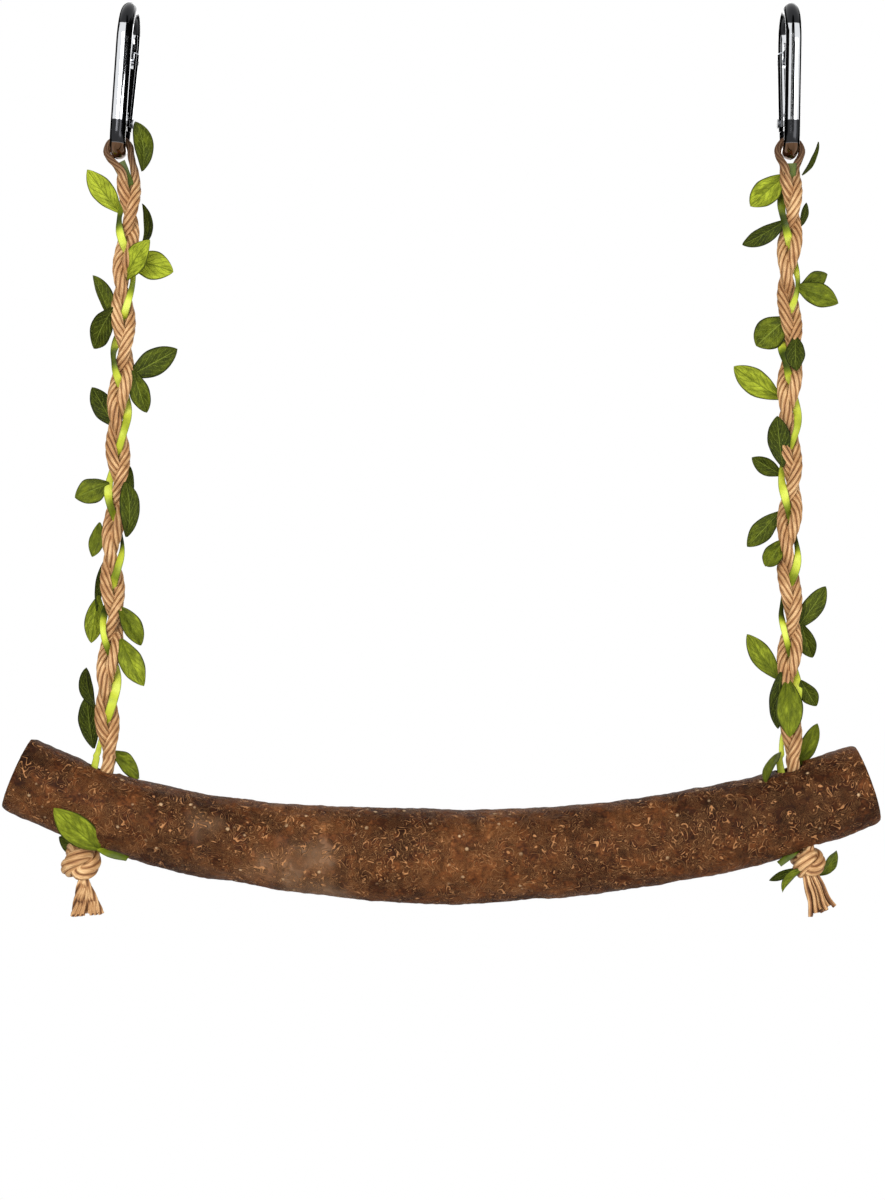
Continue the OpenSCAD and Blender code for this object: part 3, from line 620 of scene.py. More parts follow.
def jute_finish():
    sizes = settings("rope_sizes")
    finish = Finish("jute", Specular_IOR_Level=0.25)
    lay = finish.attribute("lay")
    across = finish.part(lay, "X")
    fibres = finish.noise(finish.scaled(lay, (3.4, 3.4, 260)), 1.0, 4, 0.6)
    fine = finish.noise(finish.scaled(lay, (9, 9, 480)), 1.0, 3, 0.7)
    place = finish.place()
    patches = finish.noise(place, 160, 2)
    # Painted shade: each ply is darker where it turns in towards the crevices between plies, and lighter where
    # it faces out
    proud = across.step(0.2, 1.0)
    strands = (fibres * 0.6 + fine * 0.4).step(0.34, 0.66)
    shade = (strands * 0.4 + proud * 0.64 + (patches - 0.5) * 0.6 - 0.05).clamped()
    stops = [(0.0, sizes.dark), (0.3, sizes.middle), (0.66, sizes.pale), (1.0, sizes.light)]
    colour = finish.ramp(shade, stops)
    top = Rope("right").start.z
    height = finish.part(place, "Z")
    # Painted shade: near the hooks, over the bight and the tops of the legs, the jute darkens
    hook_shade = (height + (patches - 0.5) * (6 * MM)).step(top - 7 * MM, top + 7 * MM)
    hook_shaded = finish.mix(hook_shade * 0.85, colour, finish.mix(shade, sizes.dark, sizes.hook_shade))
    relief = finish.bump(fibres * 0.5 + fine * 0.5, 0.22 * MM)
    return finish.set(Base_Color=hook_shaded, Roughness=0.62 - strands * 0.18, Normal=relief)


def ribbon_finish():
    sizes = settings("vine_sizes")
    finish = Finish("ribbon", Specular_IOR_Level=0.25)
    lay = finish.attribute("lay")
    across = finish.part(lay, "X")
    weave = finish.noise(finish.scaled(lay, (20, 4, 900)), 1.0, 2)
    drift = finish.noise(finish.place(), 160, 2)
    # The tone is painted shade: dark where the ribbon turns edge on and towards its ends, light where it faces
    # the front
    facing = finish.attribute("tone", "Fac")
    shade = (facing * 0.9 + (drift - 0.5) * 0.6 + (weave - 0.5) * 0.25).clamped()
    dull = [(0.0, sizes.ribbon_shade), (0.45, display(118, 132, 28))]
    colour = finish.ramp(shade, [*dull, (0.8, sizes.ribbon), (1.0, display(210, 222, 98))])
    # Painted shade along the ribbon's edges, where it turns away
    edge = across.math("ABSOLUTE").step(0.7, 1.0)
    edged = finish.mix(edge * 0.7, colour, sizes.ribbon_shade)
    return finish.set(Base_Color=edged, Roughness=0.4 + weave * 0.12, Normal=finish.bump(weave, 0.05 * MM))


def leaf_finish():
    sizes = settings("vine_sizes")
    finish = Finish("leaf", Specular_IOR_Level=0.07)
    lay = finish.attribute("lay")
    tone = finish.attribute("tone", "Fac")
    along = finish.part(lay, "X")
    side = finish.part(lay, "Y").math("ABSOLUTE")
    wander = finish.noise(finish.scaled(lay, (5, 5, 3)), 1.0, 2) - 0.5
    rib = 1 - side.step(0.015, 0.07)
    branch = (along - side * 0.42 + wander * 0.12) * 6.5
    rhythm = (branch.math("FRACT") - 0.5).math("ABSOLUTE")
    branches = (1 - rhythm.step(0.03, 0.12)) * (1 - side.step(0.7, 0.95))
    veins = rib.math("MAXIMUM", branches * 0.7)
    net = 1 - finish.cell_edges(finish.scaled(lay, (26, 9, 1)), 1.0).step(0.0, 0.09)
    mottle = finish.noise(finish.scaled(lay, (4, 2.2, 7)), 1.0, 3, 0.6)
    streaks = finish.noise(finish.scaled(lay, (3, 14, 5)), 1.0, 3, 0.6)
    base = (1 - along.step(0.1, 0.5)) * 0.12
    # Each leaf's tone holds painted light and shade as well as its own tone, and picks its green from deep for
    # shaded leaves to pale for lit ones
    shade = (tone + (mottle - 0.5) * 1.1 + (streaks - 0.5) * 0.4 - base).clamped()
    deep = [(0.0, sizes.leaf_dark), (0.3, sizes.leaf_deep)]
    green = finish.ramp(shade, [*deep, (0.62, sizes.leaf_middle), (1.0, sizes.leaf_light)])
    # Veins are pale on the deep leaves and dark on the light ones
    vein_colour = finish.mix(tone.step(0.35, 0.6), display(142, 156, 60), display(70, 84, 14))
    veined = finish.mix(veins * (0.35 + tone * 0.3), green, vein_colour)
    netted = finish.mix(net * 0.08, veined, display(190, 206, 96))
    edged = finish.mix(side.step(0.84, 0.97) * 0.88, netted, display(18, 24, 3))
    height = veins * -1.0 + net * -0.2 + mottle * 0.4
    return finish.set(Base_Color=edged, Roughness=0.42 + mottle * 0.14, Normal=finish.bump(height, 0.14 * MM))


def bark_finish():
    sizes = settings("perch_sizes")
    finish = Finish("bark", Specular_IOR_Level=0.06)
    place = finish.place()
    warp = finish.noise(place, 70, 2, output="Color")
    bent = finish.mix(0.35, place, warp, "LINEAR_LIGHT")
    broad = finish.noise(place, 26, 4, 0.6)
    medium = finish.noise(place, 150, 4, 0.65)
    fine = finish.noise(place, 900, 3, 0.7)
    # Curls are the level lines of a noise, kept only here and there
    curl_field = finish.noise(place, 200, 1.2, 0.5, 1.2)
    phase = (curl_field * 10).math("FRACT") - 0.5
    here = finish.noise(place, 170, 1).step(0.4, 0.48)
    curls = 1 - phase.math("ABSOLUTE").step(0.03, 0.12)
    # Each curl has a painted shadow on one side, as if it was cut
    cut = (1 - (phase - 0.17).math("ABSOLUTE").step(0.04, 0.13)) * here
    # Short straight scratches are the edges of stretched cells
    cells = finish.cell_edges(finish.scaled(bent, (1, 1, 1.7)), 165.0)
    scratches = (1 - cells.step(0.02, 0.06)) * finish.noise(place, 260, 1).step(0.44, 0.5)
    strokes = (curls * here).math("MAXIMUM", scratches)
    # The worn patch is on the left, with a ragged edge
    worn = finish.noise(place, 38, 3, 0.6)
    patch = 1 - ((finish.part(place, "X") + 0.06).math("ABSOLUTE") - worn * 0.03).step(0.0, 0.016)
    worn_patch = patch * worn.step(0.42, 0.62)
    shade = (broad * 0.34 + medium * 0.36 + fine * 0.3).step(0.34, 0.66)
    hollows = [(0.0, sizes.bark_dark), (0.36, display(58, 30, 14))]
    base = finish.ramp(shade, [*hollows, (0.8, sizes.bark_warm), (1.0, display(144, 95, 56))])
    patched = finish.mix(worn_patch * 0.6, base, sizes.bark_pale)
    shaded = finish.mix(cut * 0.6, patched, sizes.bark_dark)
    stroked = finish.mix(strokes * 0.8, shaded, sizes.scratch)
    specks = finish.node("ShaderNodeTexVoronoi", {"feature": "F1"}, {"Vector": place, "Scale": 260.0})
    dots = (1 - specks.step(0.1, 0.2)) * finish.noise(place, 90, 1).step(0.52, 0.6)
    spotted = finish.mix(dots * 0.75, stroked, display(222, 184, 140))
    height = broad * 0.6 + medium * 0.9 + strokes * 0.35 + dots * 0.4 + fine * 0.15
    sheen = 0.55 - strokes * 0.12 + medium * 0.12
    return finish.set(Base_Color=spotted, Roughness=sheen, Normal=finish.bump(height, 0.8 * MM))


def wood_finish():
    sizes = settings("perch_sizes")
    finish = Finish("sawn_wood", Specular_IOR_Level=0.3)
    lay = finish.attribute("lay")
    radius = finish.part(lay, "Z")
    wobble = finish.noise(finish.place(), 120, 2) * 0.06
    rings = ((radius + wobble) * 22).math("FRACT")
    growth = (rings - 0.5).math("ABSOLUTE").step(0.1, 0.42)
    grain = finish.noise(finish.scaled(finish.place(), (1, 1, 6)), 500, 3)
    colour = finish.mix(growth * 0.45, sizes.wood, display(146, 104, 64))
    darker = finish.mix(radius.step(0.84, 0.97), colour, sizes.bark_dark)
    relief = finish.bump(grain + growth * 0.3, 0.15 * MM)
    return finish.set(Base_Color=darker, Roughness=0.7 + grain * 0.15, Normal=relief)


def chrome_finish(rope):
    """Polished chrome, with a painted dark reflection on the top bend and on a band over the eye, and a painted
    reflection of the rope on the eye below it.
    """
    looks = settings("hook_looks")
    finish = Finish(rope.side + "_chrome", Metallic=1.0)
    lean = looks.left_lean if rope.side == "left" else 0.0
    bar_x = getattr(looks, rope.side + "_bar_x")
    x, z = (finish.part(finish.place(), axis) for axis in "XZ")
    height = z * cos(lean) + (x - bar_x) * sin(lean)
    ragged = finish.noise(finish.place(), 900, 2) * (0.6 * MM)
    edge = 0.12 * MM
    # Painted dark reflection: on the top bend down to a ragged edge, and on a band just above the eye
    painted_dark_cap = (height + ragged).step(looks.cap_foot - edge, looks.cap_foot + edge)
    below_top = 1 - height.step(looks.reflection_band_top - edge, looks.reflection_band_top + edge)
    above_eye = height.step(looks.reflection_band_foot - edge, looks.reflection_band_foot + edge)
    painted_dark = (painted_dark_cap + below_top * above_eye).clamped()
    wear = finish.noise(finish.place(), 600, 2)
    # Below the band, the eye takes a painted reflection of the rope
    colour = finish.mix(painted_dark * 0.97, finish.mix(1 - above_eye, looks.chrome, looks.painted_rope_reflection), looks.painted_dark)
    return finish.set(Base_Color=colour, Roughness=0.04 + wear * 0.05 + painted_dark * 0.12)


def steel_finish():
    looks = settings("hook_looks")
    finish = Finish("steel", Metallic=1.0)
    wear = finish.noise(finish.place(), 900, 3)
    colour = finish.mix(wear * 0.5, looks.steel, display(96, 97, 100))
    return finish.set(Base_Color=colour, Roughness=0.24 + wear * 0.14)


materials = {}


def material(name, make, *values):
    if name not in materials:
        materials[name] = make(*values)
    return materials[name]


# Operators


class BIRDSWING_OT_hooks(bpy.types.Operator):
    """Finishes the snap hooks: chromed bodies and gates, plain steel pins, springs and plungers"""

    bl_idname = "bird_swing.hooks"
    bl_label = "Finish the snap hooks"

    def execute(self, context):
        for side in SIDES:
            chrome = material(side + "_chrome", chrome_finish, Rope(side))
            steel = material("steel", steel_finish)
            for part in ("hook_body", "gate", "gate_rivet", "latch_pin", "gate_spring", "gate_plunger"):
                node = frame["nodes"][f"{side}_{part}"]
                node.data.materials.clear()
                node.data.materials.append(chrome if part in ("hook_body", "gate") else steel)
        return {"FINISHED"}


class BIRDSWING_OT_cords(bpy.types.Operator):
    """Lays the twisted cord of each rope: its bight in the hook's eye, and both legs down to the knot"""

    bl_idname = "bird_swing.cords"
    bl_label = "Lay the cords"

    step = 0.75 * MM
    end_in_knot = 3 * MM
    # How far down the bight's legs, as a share of half the bight, a cord starts to swell, and over how much
    swell_from, swell_over = 0.55, 0.6

    def execute(self, context):
        sizes = settings("rope_sizes")
        jute = material("jute", jute_finish)
        reach, depth = sizes.plait_reach, sizes.plait_depth
        for side in SIDES:
            rope = Rope(side)
            leg_a, leg_b = (
                rope.plait_route(start, reach, depth) + rope.hole_route(start, reach, depth, self.end_in_knot)
                for start in (CORD_A_START, CORD_B_START)
            )
            route = evenly_spaced(leg_a[::-1] + rope.bight_route()[1:-1] + leg_b, self.step)
            reached = distances(route)
            normals = carried_normals(route, Vector((0, -1, 0)))
            cuts = self.cuts(rope, route)
            # The two legs are laid to opposite hands, from the middle of the bight
            middle = (reached[cuts["a_top"]] + reached[cuts["b_top"]]) / 2
            laid = [abs(place - middle) for place in reached]
            half_bight = laid[cuts["b_top"]]
            swell = [self.swell(place / half_bight) for place in laid]
            spans = {
                "bight": [("a_top", "b_top")],
                "cords_upper": [("a_middle", "a_top"), ("b_top", "b_middle")],
                "cords_lower": [("a_end", "a_middle"), ("b_middle", "b_end")],
            }
            made = {}
            for name, ranges in spans.items():
                bm = new_bmesh()
                for first, last in ranges:
                    part = slice(cuts[first], cuts[last] + 1)
                    twist = sizes.cord_d, sizes.plies, sizes.lay_length, laid[part], swell[part]
                    add_twisted_cord(bm, route[part], normals[cuts[first]], *twist)
                close_ends(bm)
                made[name] = finished_piece(f"{side}_{name}", bm, jute)
            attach(made["bight"], rope.loop_body)
            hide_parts(side + "_rope_loop")
            blend_ends(made["cords_upper"], made["cords_lower"], rope)
            for name in ("cords_upper", "cords_lower"):
                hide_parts(side + "_cord_a", side + "_cord_b")
            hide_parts(side + "_hole_cords")
        return {"FINISHED"}

    def swell(self, place):
        """The cord's share of its full thickness, by how far down the bight's legs it is."""
        tight = settings("rope_sizes").bight_share
        return tight + (1 - tight) * eased(min(max((place - self.swell_from) / self.swell_over, 0), 1))

    def cuts(self, rope, route):
        """The points of a route nearest to the plait's top and middle on each leg, and its ends."""
        sizes = settings("rope_sizes")
        middle = (rope.start + rope.foot) / 2
        half = len(route) // 2
        cuts = {"a_end": 0, "b_end": len(route) - 1}
        for leg, start, near in (
            ("a", CORD_A_START, range(0, half)),
            ("b", CORD_B_START, range(half, len(route))),
        ):
            top = rope.in_plait(start, 0, sizes.plait_reach, sizes.plait_depth)
            cuts[leg + "_top"] = min(near, key=lambda i: (route[i] - top).length)
            cuts[leg + "_middle"] = min(near, key=lambda i: abs(route[i].z - middle.z))
        return cuts


def blend_ends(upper, lower, rope):
    """Bakes a rope's pieces in place and gives them blend weights between two bodies: the upper piece beneath
    its loop, the lower piece above the perch.
    """
    bend = down(rope.lean) * BEND_LENGTH
    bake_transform(upper, rope.loop_body, rope.rope_body, start=tuple(rope.start), end=tuple(rope.start + bend))
    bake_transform(lower, rope.rope_body, "perch", start=tuple(rope.foot - bend), end=tuple(rope.foot))


class BIRDSWING_OT_ribbons(bpy.types.Operator):
    """Lays the vine's ribbon in each plait and draws its end through the hole"""

    bl_idname = "bird_swing.ribbons"
    bl_label = "Lay the ribbons"

    step = 0.7 * MM
    under_wire = 1.2 * MM
    most_turn = 2.1
    # The way of each loose end from the top of the knot, in millimetres
    loose_ends = {
        "left": ((3.4, -3.5, -0.8), (8, -7.4, -2.6), (14.6, -9.4, -4.2)),
        "right": ((-3.4, -2.5, -1.2), (-5.6, -3.6, -2.8), (-8.6, -4.2, -5.0)),
    }

    def execute(self, context):
        sizes, cords = settings("vine_sizes"), settings("rope_sizes")
        for side in SIDES:
            rope = Rope(side)
            reach, depth = sizes.ribbon_reach, sizes.ribbon_depth
            in_hole = rope.hole_route(RIBBON_START, cords.packed_reach, cords.packed_depth, 0)
            in_plait = rope.plait_route(RIBBON_START, reach, depth)
            loose = [rope.knot_top + Vector(place) * MM for place in self.loose_ends[side]]
            # It starts between the legs, close under the eye's wire
            top = rope.eye - Vector((0, 0, cords.eye_wire_d / 2 + self.under_wire))
            up = [top.lerp(in_plait[0], i / 8) for i in range(8)]
            end = self.rounded(in_hole[-9], *loose)
            route = evenly_spaced(up + in_plait + in_hole[1:-8] + end, self.step)
            middle = (rope.start + rope.foot) / 2
            cut = min(range(len(route)), key=lambda i: abs(route[i].z - middle.z))
            upper = self.strip(f"{side}_ribbon_upper", route[: cut + 1], 0, len(route) - 1)
            lower = self.strip(f"{side}_ribbon_lower", route[cut:], cut, len(route) - 1)
            blend_ends(upper, lower, rope)
            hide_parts(side + "_vine_ribbon")
            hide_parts(side + "_vine_ribbon", side + "_ribbon_end")
        return {"FINISHED"}

    def rounded(self, *points, steps=24):
        return [curve_through(points, i / steps) for i in range(1, steps + 1)]

    def strip(self, name, route, offset, last):
        """A flat strip with a soft fold along its middle, which turns edge on here and there as it goes.

        offset is the number of its first point along the whole ribbon, and last that of the ribbon's end."""
        sizes = settings("vine_sizes")
        bm = new_bmesh()
        ways = directions(route)
        half_w, half_t = sizes.ribbon_w / 2, sizes.ribbon_t / 2
        outline = [(1, 0), (0.5, 1), (0, 1.8), (-0.5, 1), (-1, 0), (-0.5, -1), (0, -0.2), (0.5, -1)]

        def place(row, column):
            number = row + offset
            turn = self.most_turn * noise.noise(Vector((number * 0.05, 3.1, 0)))
            # It is wider at its top
            width = 1 + 0.5 * noise.noise(Vector((number * 0.06, 9.7, 0))) + 0.9 * max(0, 1 - number / 26)
            # Its two ends are darkened with painted shade
            lit = min(1, max(0.12, number / 24 - 0.6), max(0.12, (last - number) / 14 - 0.4))
            way = ways[row]
            side = Vector((cos(turn), sin(turn), 0))
            side = (side - way * side.dot(way)).normalized()
            front = way.cross(side).normalized()
            x, y = outline[column]
            p = route[row] + side * (x * half_w * width) + front * (y * half_t)
            # The tone is painted shade: the ribbon darkens as it turns edge on, and at its ends
            return p, (x, y, number * self.step), max(0, cos(2 * turn)) * lit

        bent_grid(bm, len(route) - 1, len(outline), place)
        close_ends(bm)
        return finished_piece(name, bm, material("ribbon", ribbon_finish))


# Leaves of a rope, each as share of the way down, azimuth, elevation and roll in degrees, length share,
# width share, tone and painted light from dark to light, fold across the rib in degrees, and curl along it in
# degrees
LEAF_SHARES = {
    "left_upper_leaves": [
        (0.035, 186, 50, 4, 0.79, 0.84, 0.9, 10, 30),
        (0.093, 55, 92, 30, 0.62, 0.8, 0.05, 55, 30),
        (0.137, 5, -11, -14, 0.64, 1.1, 0.9, 10, 40),
        (0.155, -42, 48, 10, 0.74, 0.95, 0.85, 8, 35),
        (0.225, 165, 65, -12, 0.71, 0.9, 0.3, 45, 25),
        (0.235, 240, -56, 10, 0.76, 1, 0.15, 6, 35),
    ],
    "left_middle_leaves": [
        (0.327, 5, 32, 8, 0.82, 0.95, 0.2, 8, 35),
        (0.344, 30, -68, 30, 0.6, 0.8, 0.3, 25, 30),
        (0.409, 172, 58, 10, 0.61, 0.85, 0.1, 20, 60),
        (0.534, 190, -26, 12, 0.45, 0.95, 0.45, 12, 20),
        (0.55, -54, 92, 60, 0.56, 0.5, 0.05, 45, 50),
        (0.601, -32, 95, 58, 0.82, 0.8, 0.2, 20, 84),
        (0.614, 178, -80, 10, 0.42, 0.6, 0.5, 15, 30),
    ],
    "left_lower_leaves": [
        (0.733, 176, 99, 60, 0.85, 0.6, 0.1, 30, 4),
        (0.742, 192, -83, 0, 0.68, 0.74, 0.65, 12, 35),
        (0.758, 8, -58, -14, 0.6, 0.85, 0.5, 30, 40),
        (0.814, -20, -59, -10, 0.78, 0.9, 0.68, 15, 35),
        (0.902, 186, 75, 36, 0.52, 0.7, 0.05, 25, 70),
        (0.975, 178, 80, 24, 0.78, 0.8, 0.1, 12, 45),
    ],
    "right_upper_leaves": [
        (0.012, 188, -42, 8, 0.66, 0.95, 0.75, 12, 30),
        (0.069, 20, 72, 24, 0.24, 0.45, 0.05, 20, 20),
        (0.087, 176, -29, 24, 0.69, 0.8, 0.1, 25, 30),
        (0.188, 20, 24, 24, 0.45, 0.8, 0.45, 12, 25),
        (0.199, -8, -23, -6, 0.62, 0.86, 0.5, 10, 30),
        (0.259, 188, -42, 0, 0.56, 1.2, 0.4, 20, 30),
    ],
    "right_middle_leaves": [
        (0.297, -88, -76, -70, 0.44, 0.75, 0.15, 20, 30),
        (0.375, 186, 33, 8, 0.87, 1, 0.75, 10, 35),
        (0.487, 236, 76, -55, 0.75, 0.85, 0.1, 15, 35),
        (0.508, 176, 30, 18, 0.42, 0.68, 0.2, 15, 20),
        (0.594, 184, -47, 8, 0.68, 0.78, 0.3, 10, 35),
        (0.643, 210, -50, 24, 0.42, 0.85, 0.45, 35, 25),
    ],
    "right_lower_leaves": [
        (0.77, 2, 55, 4, 0.77, 0.78, 0.25, 14, 35),
        (0.791, 20, -70, 40, 0.45, 0.8, 0.2, 30, 30),
        (0.857, 182, 54, 8, 0.84, 0.8, 0.6, 10, 30),
        (0.876, 232, -84, 40, 0.85, 0.7, 0.05, 20, 30),
        (0.888, -88, -76, -90, 0.89, 1, 0.55, 14, 35),
        (0.888, 10, -58, 30, 0.32, 0.7, 0.25, 20, 20),
    ],
}
# A leaf beside each hook, given as a rope's leaves are, with its share of the way down the loop's outer leg
HOOK_LEAF_SHARES = {
    "left": (0.3, 20, 98, 14, 0.72, 0.85, 0.3, 20, 76),
    "right": (0.6, 12, 62, 62, 0.47, 0.8, 0.2, 20, 20),
}
# Leaves where the cords enter the branch, given as a rope's leaves are, without the share of the way down
MOUTH_LEAF_SHARES = {
    "left_mouth_leaf": [(42, -38, -22, 0.62, 0.9, 0.65, 12, 30)],
    "right_mouth_leaves": [
        (35, 54, 0, 0.78, 0.8, 0.55, 12, 30),
        (234, -44, -66, 0.55, 0.75, 0.5, 14, 30),
    ],
}
# Leaves round a knot, each as the azimuth of its seat and its share of the knot's height, and then as above
KNOT_LEAF_SHARES = {
    "left": [
        (-58, -0.02, 225, 37, 140, 1.2, 1.15, 0.68, 10, 30),
        (110, 0.2, 175, 30, 20, 0.38, 0.7, 0.2, 20, 20),
    ],
    "right": [
        (200, 0.8, 190, -22, 30, 0.38, 0.35, 0.05, 20, 10),
        (235, 0.9, 205, -40, -20, 0.42, 0.55, 0.5, 40, 60),
        (30, 0.7, 20, 50, 30, 0.34, 0.8, 0.4, 20, 30),
    ],
}


class BIRDSWING_OT_leaves(bpy.types.Operator):
    """Shapes the vine's cloth leaves and sets them on the ropes, at the hooks, the holes and the knots"""

    bl_idname = "bird_swing.leaves"
    bl_label = "Shape the leaves"

    def execute(self, context):
        self.ropes = {side: Rope(side) for side in SIDES}
        self.seed = 0
        for group, leaves in LEAF_SHARES.items():
            rope = self.ropes[group.split("_")[0]]
            placed = []
            for share, azimuth, *rest in leaves:
                seat = self.seat_on_strand(rope, share, azimuth)
                placed.append((rope.place @ Matrix.Translation(seat), azimuth, *rest))
            self.bunch(group, placed, rope.rope_body)
        for side, leaf in HOOK_LEAF_SHARES.items():
            self.bunch(side + "_hook_leaf", [self.hook_leaf(self.ropes[side], *leaf)], side + "_loop")
        for node, leaves in MOUTH_LEAF_SHARES.items():
            rope = self.ropes[node.split("_")[0]]
            self.bunch(node, [self.mouth_leaf(rope, *leaf) for leaf in leaves], "perch")
        for side, leaves in KNOT_LEAF_SHARES.items():
            placed = [self.knot_leaf(self.ropes[side], *leaf) for leaf in leaves]
            self.bunch(side + "_knot_leaves", placed, "perch")
        return {"FINISHED"}

    def bunch(self, node, leaves, body):
        """One piece of leaves in a node's stead, each with its place, azimuth, elevation, roll and shape."""
        bm = new_bmesh()
        for place, azimuth, elevation, roll, *shape in leaves:
            self.seed += 1
            add_leaf(bm, place @ leaf_turn(azimuth, elevation, roll), self.seed, *shape)
        piece = finished_piece(node + "_cloth", bm, material("leaf", leaf_finish))
        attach(piece, body)
        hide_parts(node)

    def seat_on_strand(self, rope, share, azimuth):
        """The place outside the outermost strand in a direction, at a share of the way down the plait."""
        sizes, vine = settings("rope_sizes"), settings("vine_sizes")
        way = level(azimuth)
        ribbon_r = (vine.packed_ribbon_w * abs(way.x) + vine.packed_ribbon_t * abs(way.y)) / 2
        cord_r = sizes.packed_cord_d / 2
        reaches = []
        for start, radius in ((CORD_A_START, cord_r), (CORD_B_START, cord_r), (RIBBON_START, ribbon_r)):
            strand = packed_strand(start + travel(share))
            reaches.append((strand.dot(way) + radius, strand + way * radius))
        seat = max(reaches, key=lambda item: item[0])[1] + way * self.stand_off()
        seat.z = -(sizes.joint_gap + rope.plait_length * share)
        return seat

    def stand_off(self):
        return settings("rope_sizes").soft_gap + settings("vine_sizes").stalk_d / 2

    def hook_leaf(self, rope, share, azimuth, *rest):
        sizes = settings("rope_sizes")
        top = rope.eye + Vector((rope.packed_loop_r, 0, 0))
        foot = rope.start + packed_strand(CORD_B_START) + Vector((0, 0, sizes.joint_gap))
        seat = leg_point(top, foot, share) + level(azimuth) * (sizes.packed_cord_d / 2 + self.stand_off())
        return Matrix.Translation(seat), azimuth, *rest

    def mouth_leaf(self, rope, azimuth, *rest):
        seat = self.seat_on_strand(rope, 1, azimuth)
        seat.z = 0
        place = rope.foot + down(rope.lean) * (settings("rope_sizes").rope_rise / 2) + seat
        return Matrix.Translation(place), azimuth, *rest

    def knot_leaf(self, rope, seat_azimuth, height_share, azimuth, *rest):
        seat = rope.knot_top + down(rope.hole_lean) * (height_share * rope.knot_h)
        seat += level(seat_azimuth) * (rope.knot_d / 2 + self.stand_off())
        return Matrix.Translation(seat), azimuth, *rest


def level(azimuth):
    """The level direction at an azimuth in degrees."""
    return Vector((cos(radians(azimuth)), sin(radians(azimuth)), 0))


def leaf_turn(azimuth, elevation, roll):
    """Turns a leaf that lies along X: azimuth about the rope, elevation, and roll about its rib."""
    return (
        Matrix.Rotation(radians(azimuth), 4, "Z")
        @ Matrix.Rotation(radians(-elevation), 4, "Y")
        @ Matrix.Rotation(radians(90 + roll), 4, "X")
    )


def add_leaf(bm, matrix, seed, length_share, width_share, tone, fold, curl):
    """A pointed cloth leaf, folded along its rib and curled from base to tip, with its base in the rope.

    The base lies at -leaf_base along X, and the tip at the stalk's and the blade's length."""
    vine = settings("vine_sizes")
    tip = vine.leaf_length * (vine.stalk_share + length_share)
    length = tip + vine.leaf_base
    half_w = vine.leaf_width * width_share / 2
    fold, curl = radians(fold), radians(curl)
    arc_r = length / 2 / sin(curl / 2)
    along, across = 26, 14

    def surface(u, v):
        """A point of the blade at a share u along it and v across it, from -1 to 1."""
        outline = max(0, sin(pi * u**1.12)) ** 0.82 + 0.1 * (1 - u) ** 3
        ripple = 0.06 * noise.noise(Vector((u * 3, v * 0.7, seed * 3.7)))
        reach = v * half_w * outline * (1 + 0.06 * noise.noise(Vector((u * 4, v, seed * 1.9))))
        lift = abs(reach) * sin(fold) - reach * reach / half_w * 0.18 + ripple * half_w * (1 + abs(v))
        bend = curl * (u - 0.5)
        rib_x = arc_r * sin(bend) + length / 2 - vine.leaf_base
        rib_z = arc_r * (cos(bend) - cos(curl / 2))
        return Vector((rib_x + sin(bend) * lift, reach * cos(fold), rib_z + cos(bend) * lift))

    thick = vine.leaf_t / 2

    def place(row, column):
        """Rows run along the leaf; columns go over its face and back under it."""
        u = row / along
        turn = column % (2 * across)
        v = -1 + 2 * turn / across if turn <= across else 3 - 2 * turn / across
        up = 1 if turn <= across else -1
        rim = 0 if turn in (0, across) else 1
        p = surface(u, v)
        p.z += up * thick * rim * min(1, 8 * u, 8 * (1 - u))
        return matrix @ p, (u, v, seed), tone

    bent_grid(bm, along, 2 * across, place)
    close_ends(bm)


